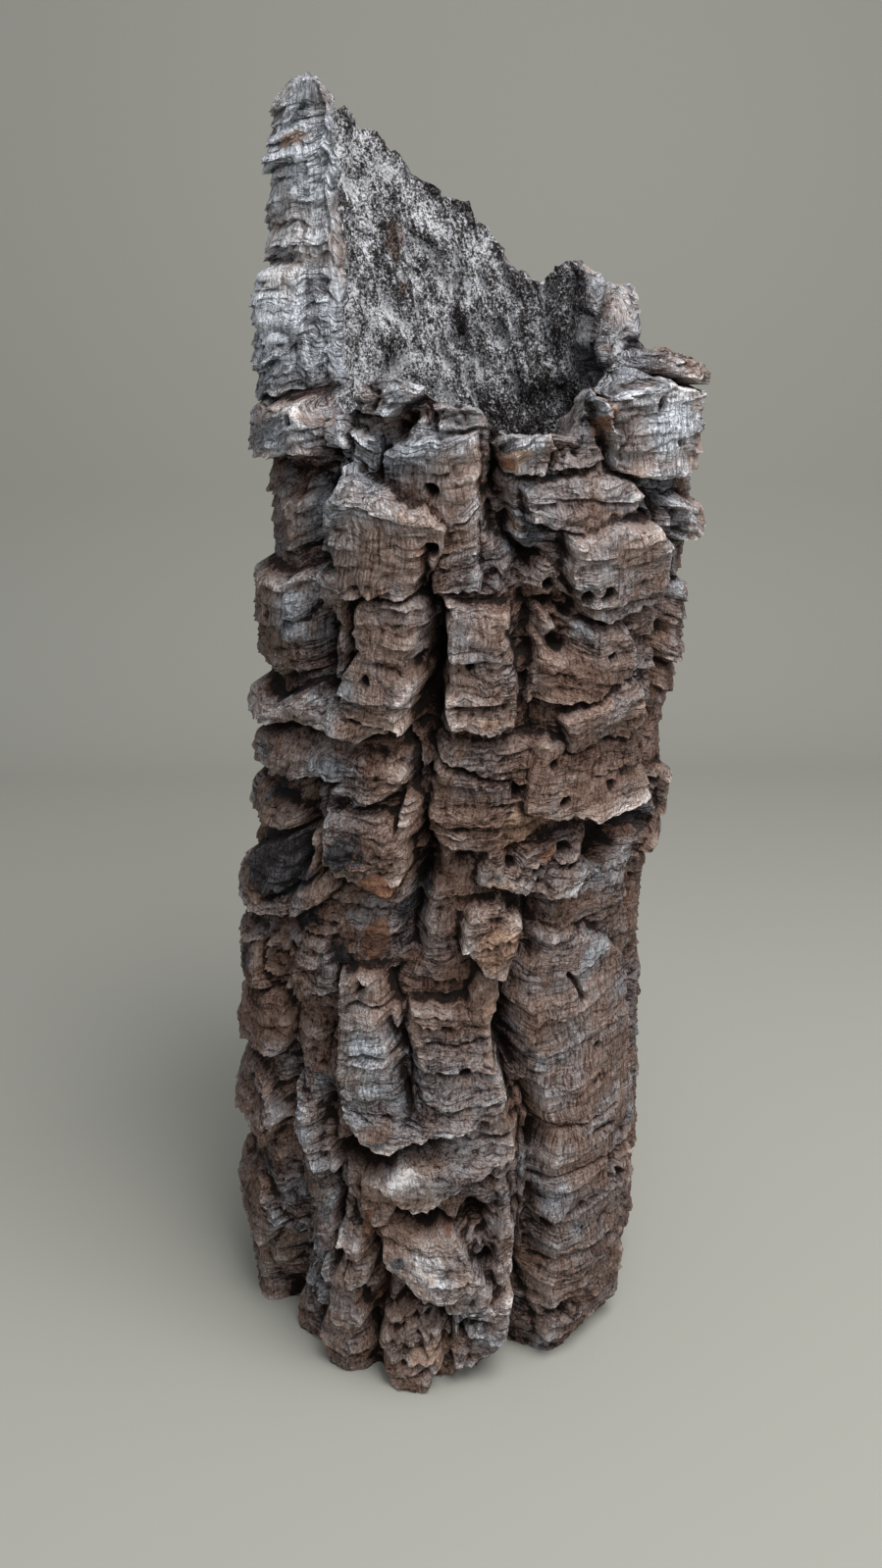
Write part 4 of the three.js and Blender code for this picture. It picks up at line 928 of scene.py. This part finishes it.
def thin_out(branch, vertices, triangles):
    """Collapses faces among the given vertices until the whole mesh has the given number of triangles."""
    group = branch.vertex_groups.new(name="thinned")
    group.add([int(n) for n in np.nonzero(vertices)[0]], 1.0, "REPLACE")
    thinning = branch.modifiers.new("thinning", "DECIMATE")
    thinning.ratio = triangles / sum(len(p.vertices) - 2 for p in branch.data.polygons)
    thinning.vertex_group = group.name
    thinning.use_collapse_triangulate = True
    shape = branch.evaluated_get(bpy.context.evaluated_depsgraph_get())
    thinned = bpy.data.meshes.new_from_object(shape)
    branch.modifiers.clear()
    branch.vertex_groups.clear()
    old = branch.data
    branch.data = thinned
    bpy.data.meshes.remove(old)


def seen_vertices(mesh):
    """Which vertices belong to the front and the upper bore."""
    values = np.zeros(len(mesh.vertices), dtype=np.float32)
    mesh.attributes["seen"].data.foreach_get("value", values)
    return values > 0.5


def build_tube(overhang, lip_overhang, triangles):
    """The whole branch as one closed mesh."""
    strips = Strips(overhang, lip_overhang)
    bark, bark_grain, bark_marks = strips.bark()
    bore, bore_grain, bore_marks = strips.bore()
    torn, torn_grain = strips.torn(bark[-1], bore[0], bark_grain[-1], bore_grain[0])
    sawn = strips.sawn(bore[-1], bark[0])
    points = np.concatenate([bark, torn, bore, sawn, bark[:1]]) * MM
    grain = np.concatenate([bark_grain, torn_grain, bore_grain, sawn, bark_grain[:1]]) * MM
    mesh = build_sheet(*points.shape[:2])
    mesh.vertices.foreach_set("co", points.astype(np.float32).ravel())
    write_marks(mesh, "grain", grain)
    for name, field in sheet_marks(points, strips.angles, bark_marks, bore_marks).items():
        write_marks(mesh, name, field)
    close_sheet(mesh)

    branch = bpy.data.objects.new("cork_bark", mesh)
    bpy.context.scene.collection.objects.link(branch)
    seen = seen_vertices(mesh)
    seen_faces = 2 * len(mesh.polygons) * seen.mean()
    thin_out(branch, ~seen, seen_faces + (1 - FRONT_SHARE) * triangles)
    thin_out(branch, seen_vertices(branch.data), triangles)
    branch.data.name = "cork_bark"
    branch.data.shade_smooth()
    branch.data.set_sharp_from_angle(angle=math.radians(CREASE))
    return branch


def arithmetic(operation, reflected=False):
    """A method that works one arithmetic sign on a shade and adds one Math node."""

    def method(self, other):
        return self.math(operation, *((other, self) if reflected else (self, other)))

    return method


class Shade:
    """One output of a shader node. Arithmetic on it adds Math nodes."""

    def __init__(self, sheet, socket):
        self.sheet = sheet
        self.socket = socket

    def math(self, operation, *values, clamp=False):
        """Adds one Math node."""
        return self.sheet.add("ShaderNodeMath", {"operation": operation, "use_clamp": clamp}, *values)

    __add__ = __radd__ = arithmetic("ADD")
    __sub__ = arithmetic("SUBTRACT")
    __rsub__ = arithmetic("SUBTRACT", reflected=True)
    __mul__ = __rmul__ = arithmetic("MULTIPLY")

    def clamped(self):
        """The value kept between 0 and 1."""
        return self.math("ADD", self, 0.0, clamp=True)

    def math_of(self, operation):
        """A Math operation on this value alone."""
        return self.math(operation, self)

    def step(self, low, high):
        """0 below low, 1 above high and soft between them."""
        settings = {"interpolation_type": "SMOOTHSTEP"}
        return self.sheet.add("ShaderNodeMapRange", settings, self, low, high, 0.0, 1.0)


class FinishSheet:
    """The node tree of one material, whose patterns follow the places stored on the mesh as its grain."""

    def __init__(self, name):
        self.material = bpy.data.materials.new(name)
        self.material.use_nodes = True
        self.tree = self.material.node_tree
        self.shader = next(n for n in self.tree.nodes if n.type == "BSDF_PRINCIPLED")
        self.place = self.add("ShaderNodeAttribute", {"attribute_name": "grain"}, output="Vector")

    def add(self, kind, settings, *values, output=0, **named):
        """Adds a node, makes its settings, then fills its inputs in order or by name."""
        node = self.tree.nodes.new(kind)
        stops = settings.pop("stops", [])
        for key, value in settings.items():
            setattr(node, key, value)
        for number, (at, colour) in enumerate(stops):
            elements = node.color_ramp.elements
            stop = elements[number] if number < 2 else elements.new(at)
            stop.position, stop.color = at, colour
        filled = list(zip([s for s in node.inputs if s.enabled], values))
        filled += [(node.inputs[name.replace("_", " ")], value) for name, value in named.items()]
        for socket, value in filled:
            if isinstance(value, Shade):
                self.tree.links.new(value.socket, socket)
            elif value is not None:
                socket.default_value = value
        outputs = [s for s in node.outputs if s.enabled]
        return Shade(self, outputs[output] if isinstance(output, int) else node.outputs[output])

    def stretched(self, across, along, slant=0.0):
        """The grain's places with one scale across the branch and another along it."""
        settings = {"vector_type": "TEXTURE"}
        scale = (1 / across, 1 / across, 1 / along)
        return self.add("ShaderNodeMapping", settings, self.place, None, (0.0, slant, 0.0), scale)

    def noise(self, place, size, detail=3.0, roughness=0.55, distortion=0.0):
        """Noise from 0 to 1 with features of a size in metres of the given coordinates."""
        values = {"Scale": 1 / size, "Detail": detail, "Roughness": roughness, "Distortion": distortion}
        return self.add("ShaderNodeTexNoise", {}, Vector=place, **values)

    def cracks(self, place, size):
        """How far a place is from the cracks between cells of a size in metres."""
        settings = {"feature": "DISTANCE_TO_EDGE"}
        return self.add("ShaderNodeTexVoronoi", settings, Vector=place, Scale=1 / size, output="Distance")

    def veins(self, place, size):
        """1 along thin lines that wander at about a size in metres from each other, and 0 between them."""
        field = self.noise(place, size, 3, 0.6) - 0.5
        return field.math_of("ABSOLUTE").step(0.026, 0.006)

    def mark(self, name):
        """A number stored on the mesh."""
        return self.add("ShaderNodeAttribute", {"attribute_name": name}, output="Fac")

    def mix(self, share, low, high, blend="MIX"):
        """A colour between two others."""
        settings = {"data_type": "RGBA", "blend_type": blend, "clamp_factor": True}
        return self.add("ShaderNodeMix", settings, share, low, high)

    def ramp(self, value, *stops):
        """A colour that depends on a value, from stops of value and colour."""
        return self.add("ShaderNodeValToRGB", {"stops": [(at, rgb(colour)) for at, colour in stops]}, value)

    def join(self, socket, value):
        """Feeds the shader."""
        self.tree.links.new(value.socket, self.shader.inputs[socket])


def rgb(colour):
    """A settings colour as the four numbers that a socket takes."""
    return (*colour[:3], 1.0)


def cork_finish(settings):
    """Weathered bark: silvery crests, brown hollows, black and grey stains, orange cork where it broke, with
    painted shade in the hollows, holes, cracks and bore.
    """
    sheet = FinishSheet("weathered_cork")

    # Marks stored on the mesh
    near = sheet.mark("near_height")
    middle = sheet.mark("middle_height")
    far = sheet.mark("far_height")
    inside = sheet.mark("inside")
    crumbling = sheet.mark("sponge")
    even = sheet.mark("even")
    layered = sheet.mark("layered")
    pale = sheet.mark("pale")
    blue = sheet.mark("blue")
    brown = sheet.mark("brown")

    # Patterns, from the widest to the finest
    patchy = sheet.noise(sheet.place, 0.060, 3) - 0.5
    blotch = sheet.noise(sheet.place, 0.020, 5, 0.65) - 0.5
    small = sheet.noise(sheet.stretched(0.7, 1), 0.0040, 4, 0.7) - 0.5
    grain = sheet.noise(sheet.place, 0.0014, 2, 0.6) - 0.5
    hair = sheet.noise(sheet.stretched(1, 0.09), 0.0016, 2, 0.6) - 0.5
    layers = sheet.noise(sheet.stretched(0.10, 1), 0.0030, 3, 0.6, 0.3) - 0.5
    wide_layers = sheet.noise(sheet.stretched(0.13, 1), 0.0095, 3, 0.55, 0.3) - 0.5
    breaks = sheet.cracks(sheet.stretched(0.62, 1), 0.0085)
    veins = sheet.veins(sheet.stretched(0.16, 1), 0.013) * (patchy + blotch).step(-0.10, 0.12)
    fine_veins = sheet.veins(sheet.stretched(0.25, 1), 0.0055) * (patchy - blotch).step(-0.05, 0.12)
    fine_veins = fine_veins * (1 - even)
    height = sheet.add("ShaderNodeSeparateXYZ", {}, sheet.place, output="Z")
    leaf = (height * 230 + blotch * 7 + small * 1.6 + patchy * 5).math_of("FRACT")
    leafy = (wide_layers * 3.0 + patchy * 2.0 + 0.5).clamped()

    # Dark lines, pale crests, and how much of each the tone takes. Hollows are darker, partly dirt and partly
    # painted shade, and crests paler, partly weathering and partly painted highlight.
    sound = 1 - crumbling * 0.7
    hair_lines = hair.step(-0.04, -0.15) * sound
    thin_lines = layers.step(-0.06, -0.17) * sound
    leaf_lines = leaf.step(0.74, 0.97) * leafy * sound
    crack_lines = breaks.step(0.07, 0.01) * crumbling
    groove_dirt_and_shade = near.step(-0.3, -1.7)
    crests = near.step(0.4, 2.2) * (grain + small + 0.6).clamped()
    upper_tint_and_light = height.step(0.48, 0.74)
    # Painted shade by height: hollows are darker against their surroundings. The upper part is lighter,
    # partly its own colour and partly painted light that is stronger higher up.
    tone = middle * 0.022 + far * 0.008 + 0.43 + upper_tint_and_light * 0.235
    tone = tone + crests * (0.08 - even * 0.03) - groove_dirt_and_shade * 0.30
    tone = tone + patchy * 0.35 + blotch * 0.40 + small * (0.42 - even * 0.22) + grain * (0.60 - even * 0.20)
    tone = tone + hair * (0.45 + even * 0.65) * sound
    tone = tone + wide_layers * 0.34 + pale * 0.22 + blue * 0.05 + even * 0.07
    tone = tone - thin_lines * (0.20 - even * 0.08 + layered * 0.14) - hair_lines * (0.12 - layered * 0.05)
    tone = tone - leaf_lines * (0.16 + layered * 0.12) - crack_lines * 0.20
    # The brown mark darkens the tone: brown bark, and painted shade in the big hollow and on a brightly lit
    # face
    tone = tone - veins * (0.26 - even * 0.16) - fine_veins * 0.20 - brown * 0.10

    # Brown bark and grey bark
    warm = sheet.ramp(
        tone.clamped(),
        (0.0, settings.dark), (1.0, settings.pale), (0.22, settings.brown), (0.48, settings.tan),
        (0.74, settings.greige),
    )
    cool = sheet.ramp(
        tone.clamped(),
        (0.0, settings.dark), (1.0, settings.silver), (0.22, settings.slate), (0.48, settings.grey),
        (0.74, settings.pale_grey),
    )
    coolness = patchy * 1.8 + blotch * 1.4 + upper_tint_and_light * 0.27 + blue * 0.8 + pale * 0.2
    bark = sheet.mix((coolness - brown * 0.4 + 0.05).step(-0.25, 0.65), warm, cool)

    # Stains, each with a ragged edge
    mottle = (small * 1.6 + grain + tone).clamped()
    fresh = (sheet.mark("fresh") * 1.2 + blotch + small * 0.6).step(0.42, 0.60)
    fresh_cork = sheet.mix(mottle, rgb(settings.fresh_dark), rgb(settings.fresh))
    bark = sheet.mix(fresh * (tone + 0.25).clamped() * 0.8, bark, fresh_cork)
    rust = (sheet.mark("rust") * 1.2 + blotch + small * 0.6).step(0.42, 0.60)
    rusty_cork = sheet.mix(mottle, rgb(settings.rust_dark), rgb(settings.rust))
    bark = sheet.mix(rust * (tone + 0.40).clamped() * 0.90, bark, rusty_cork)
    # Black stains, and painted shade where black patches sit in the big hollow
    black = (sheet.mark("black") * 1.1 + blotch * 1.7 + small * 1.2 + hair * 0.4).step(0.40, 0.62)
    black_stain_and_shade = sheet.mix((tone * 1.9 + small - 0.75).clamped(), rgb(settings.black), rgb(settings.grey))
    bark = sheet.mix(black * 0.93, bark, black_stain_and_shade)
    # Painted shade: the insect holes and deep cracks turn dark
    bark = sheet.mix(sheet.mark("hole"), bark, rgb(settings.dark))

    # The bore's lining, whose fibres run aslant
    fibre_place = sheet.stretched(1, 0.70, -0.42)
    fibre = sheet.noise(fibre_place, 0.0020, 3, 0.8) - 0.5
    clump = sheet.noise(fibre_place, 0.0065, 5, 0.75) - 0.5
    shadows = sheet.noise(fibre_place, 0.018, 4, 0.65) - 0.5
    lining_tone = 0.66 + fibre * 3.2 + clump * 1.7 + shadows * 1.8 + patchy * 0.7
    lining_tone = lining_tone + grain * 2.4 - middle * 0.13
    # The black mark paints shade on the lining: the dark right of the bore and the line under its rim
    lining_tone = (lining_tone - (sheet.mark("black") * (1 + shadows * 2.5)).clamped() * 0.40).clamped()
    lining = sheet.ramp(
        lining_tone,
        (0.0, settings.dark), (1.0, settings.lining_pale), (0.42, settings.lining_dark),
        (0.68, settings.lining_middle),
    )
    stain = (brown + blotch * 1.4).step(0.25, 0.50)
    stained = sheet.mix(lining_tone, rgb(settings.dark), rgb(settings.lining_stain))
    lining = sheet.mix(stain * 0.75, lining, stained)
    sheet.join("Base Color", sheet.mix(inside, bark, lining))

    # Dull surface and fine relief
    sheet.shader.inputs["Specular IOR Level"].default_value = 0.2
    sheet.join("Roughness", 0.86 + blotch * 0.2)
    relief = small * 0.7 + grain * 0.6 + hair * 0.8 * sound + layers * 1.0 + wide_layers * 1.0
    relief = relief - crack_lines * 0.8 - thin_lines * 0.4 - leaf * leafy * sound * 0.5
    relief = relief - veins * (0.9 - even * 0.6) - fine_veins * 0.6
    relief = relief * (1 - inside) + (fibre * 2.0 + clump * 2.6) * inside
    bump = sheet.add("ShaderNodeBump", {}, Strength=0.9, Distance=0.0022, Height=relief)
    sheet.join("Normal", bump)
    return sheet.material


def colour_setting(name, description, default):
    """A colour that a user would change."""
    return bpy.props.FloatVectorProperty(
        name=name, description=description, subtype="COLOR", min=0.0, max=1.0, default=default
    )


class CorkSettings(bpy.types.PropertyGroup):
    """What a user would change about the branch."""

    overhang: bpy.props.FloatProperty(
        name="Overhang of the plates", description="How far a plate sags for each unit it stands out",
        default=0.33,
    )
    lip_overhang: bpy.props.FloatProperty(
        name="Overhang of the lips", description="The same for the bands and the broken pieces", default=0.55
    )
    triangles: bpy.props.IntProperty(
        name="Triangles", description="How many triangles the finished branch has", default=194000, min=20000
    )
    pale: colour_setting("Pale", "The most weathered crests", (0.84, 0.745, 0.685))
    greige: colour_setting("Greige", "Weathered faces", (0.385, 0.298, 0.258))
    tan: colour_setting("Tan", "Less weathered faces", (0.212, 0.139, 0.108))
    brown: colour_setting("Brown", "Lower parts of the bark", (0.088, 0.045, 0.031))
    dark: colour_setting("Dark", "Grooves", (0.014, 0.009, 0.007))
    silver: colour_setting("Silver", "The most weathered crests where bleached", (0.80, 0.84, 0.90))
    pale_grey: colour_setting("Pale grey", "Bleached faces", (0.33, 0.345, 0.375))
    grey: colour_setting("Grey", "Less bleached faces", (0.152, 0.155, 0.170))
    slate: colour_setting("Slate", "Lower parts of the bleached bark", (0.050, 0.049, 0.055))
    fresh: colour_setting("Fresh", "Cork where it broke", (0.50, 0.335, 0.24))
    fresh_dark: colour_setting("Fresh, dark", "Darker cork where it broke", (0.26, 0.145, 0.09))
    rust: colour_setting("Rust", "Orange cork in sheltered places", (0.30, 0.145, 0.082))
    rust_dark: colour_setting("Rust, dark", "Darker orange cork", (0.125, 0.052, 0.030))
    black: colour_setting("Black", "Black stains", (0.015, 0.014, 0.016))
    lining_pale: colour_setting("Lining, pale", "Pale fibres of the bore", (0.80, 0.80, 0.83))
    lining_middle: colour_setting("Lining, middle", "Grey of the bore", (0.30, 0.298, 0.31))
    lining_dark: colour_setting("Lining, dark", "Dark pits of the bore", (0.105, 0.102, 0.104))
    lining_stain: colour_setting("Lining, stain", "Brown stains of the bore", (0.20, 0.115, 0.082))


class StudioSettings(bpy.types.PropertyGroup):
    """What a user would change about the studio."""

    floor_colour: colour_setting("Floor", "Floor and backdrop", (0.42, 0.415, 0.37))
    key_power: bpy.props.FloatProperty(
        name="Key light", description="Power of the large light overhead", default=36.0, unit="POWER"
    )
    sky_strength: bpy.props.FloatProperty(
        name="Sky", description="Strength of the light from all round", default=0.40
    )


class BuildCorkBranch(bpy.types.Operator):
    """Build the cork branch and its finish"""

    bl_idname = "cork.build_branch"
    bl_label = "Cork branch"

    def execute(self, context):
        settings = context.scene.cork_settings
        branch = build_tube(settings.overhang, settings.lip_overhang, settings.triangles)
        branch.data.materials.append(cork_finish(settings))
        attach(branch, "root")
        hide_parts(NODE)
        return {"FINISHED"}


# The camera: where it stands from the tube's foot, in metres, how it looks, and its lens in millimetres
CAMERA_PLACE = (0.005, -0.80, 0.66)
CAMERA_DOWN = 18.0
CAMERA_ROLL = -0.7
LENS = 26.57
SENSOR = 36.0

# The studio, in metres: the sheet of floor and backdrop, then each light's size, place and share of the power
SWEEP_HALF = 3.0
SWEEP_BACK = 1.3
SWEEP_RADIUS = 0.5
SWEEP_STEPS = 16
LIGHTS = {
    "overhead_light": (1.1, (0.55, -0.65, 2.0), 1),
    "front_fill": (1.6, (0.7, -2.0, 1.2), 0.22),
}
LIGHT_TARGET = (0, 0, 0.40)
SKY_COLOUR = (0.93, 0.96, 1.0)


def build_sweep(colour):
    """Floor and backdrop in one sheet."""
    bm = bmesh.new()
    bmesh.ops.create_grid(bm, x_segments=1, y_segments=1, size=SWEEP_HALF)
    bmesh.ops.translate(bm, verts=bm.verts, vec=(0, SWEEP_BACK - SWEEP_HALF, 0))
    rim = [e for e in bm.edges if all(v.co.y > 0 for v in e.verts)]
    axis = Vector((0, SWEEP_BACK, SWEEP_RADIUS))
    bent = bmesh.ops.spin(bm, geom=rim, cent=axis, axis=(1, 0, 0), angle=math.pi / 2, steps=SWEEP_STEPS)
    edges = [part for part in bent["geom_last"] if isinstance(part, bmesh.types.BMEdge)]
    raised = bmesh.ops.extrude_edge_only(bm, edges=edges)
    corners = [part for part in raised["geom"] if isinstance(part, bmesh.types.BMVert)]
    bmesh.ops.translate(bm, verts=corners, vec=(0, 0, SWEEP_HALF))
    mesh = bpy.data.meshes.new("studio_sweep")
    bm.to_mesh(mesh)
    bm.free()
    mesh.shade_smooth()
    paint = bpy.data.materials.new("pale_paper")
    paint.use_nodes = True
    shader = paint.node_tree.nodes["Principled BSDF"]
    shader.inputs["Base Color"].default_value = rgb(colour)
    shader.inputs["Roughness"].default_value = 0.9
    mesh.materials.append(paint)
    sweep = bpy.data.objects.new("studio_sweep", mesh)
    bpy.context.scene.collection.objects.link(sweep)
    return sweep


def add_light(name, power, size, place, target):
    """A square soft light that points at a target."""
    light = bpy.data.lights.new(name, "AREA")
    light.energy = power
    light.shape = "SQUARE"
    light.size = size
    lamp = bpy.data.objects.new(name, light)
    bpy.context.scene.collection.objects.link(lamp)
    lamp.location = place
    lamp.rotation_euler = (Vector(target) - Vector(place)).to_track_quat("-Z", "Y").to_euler()


class BuildStudio(bpy.types.Operator):
    """Build the floor, the lights and the camera"""

    bl_idname = "cork.build_studio"
    bl_label = "Studio"

    def execute(self, context):
        settings = context.scene.studio_settings
        build_sweep(settings.floor_colour)
        for name, (size, place, share) in LIGHTS.items():
            add_light(name, settings.key_power * share, size, place, LIGHT_TARGET)

        world = bpy.data.worlds.new("studio_world")
        world.use_nodes = True
        background = world.node_tree.nodes["Background"]
        background.inputs["Color"].default_value = rgb(SKY_COLOUR)
        background.inputs["Strength"].default_value = settings.sky_strength
        context.scene.world = world
        context.scene.view_settings.view_transform = "Standard"

        lens = bpy.data.cameras.new("picture_camera")
        lens.lens = LENS
        lens.sensor_width = SENSOR
        lens.sensor_fit = "AUTO"
        lens.clip_start = 0.01
        camera = bpy.data.objects.new("picture_camera", lens)
        context.scene.collection.objects.link(camera)
        camera.location = Vector(CAMERA_PLACE) + Vector((FOOT_X, FOOT_Y, 0)) * MM
        tilt = Matrix.Rotation(math.radians(90 - CAMERA_DOWN), 3, "X")
        roll = Matrix.Rotation(math.radians(CAMERA_ROLL), 3, "Z")
        camera.rotation_euler = (tilt @ roll).to_euler()
        context.scene.camera = camera
        return {"FINISHED"}


class CorkPanel(bpy.types.Panel):
    """Buttons and settings in the sidebar"""

    bl_idname = "VIEW3D_PT_cork_branch"
    bl_label = "Cork Branch"
    bl_space_type = "VIEW_3D"
    bl_region_type = "UI"
    bl_category = "Cork"

    def draw(self, context):
        for settings in (context.scene.cork_settings, context.scene.studio_settings):
            for name in settings.__annotations__:
                self.layout.prop(settings, name)
        for operator in (BuildCorkBranch, BuildStudio):
            self.layout.operator(operator.bl_idname)


CLASSES = (CorkSettings, StudioSettings, BuildCorkBranch, BuildStudio, CorkPanel)


def register():
    for kind in CLASSES:
        bpy.utils.register_class(kind)
    bpy.types.Scene.cork_settings = bpy.props.PointerProperty(type=CorkSettings)
    bpy.types.Scene.studio_settings = bpy.props.PointerProperty(type=StudioSettings)


def unregister():
    del bpy.types.Scene.studio_settings
    del bpy.types.Scene.cork_settings
    for kind in reversed(CLASSES):
        bpy.utils.unregister_class(kind)


def main():
    register()
    bpy.ops.cork.build_branch()
    bpy.ops.cork.build_studio()


if __name__ == "__main__":
    main()
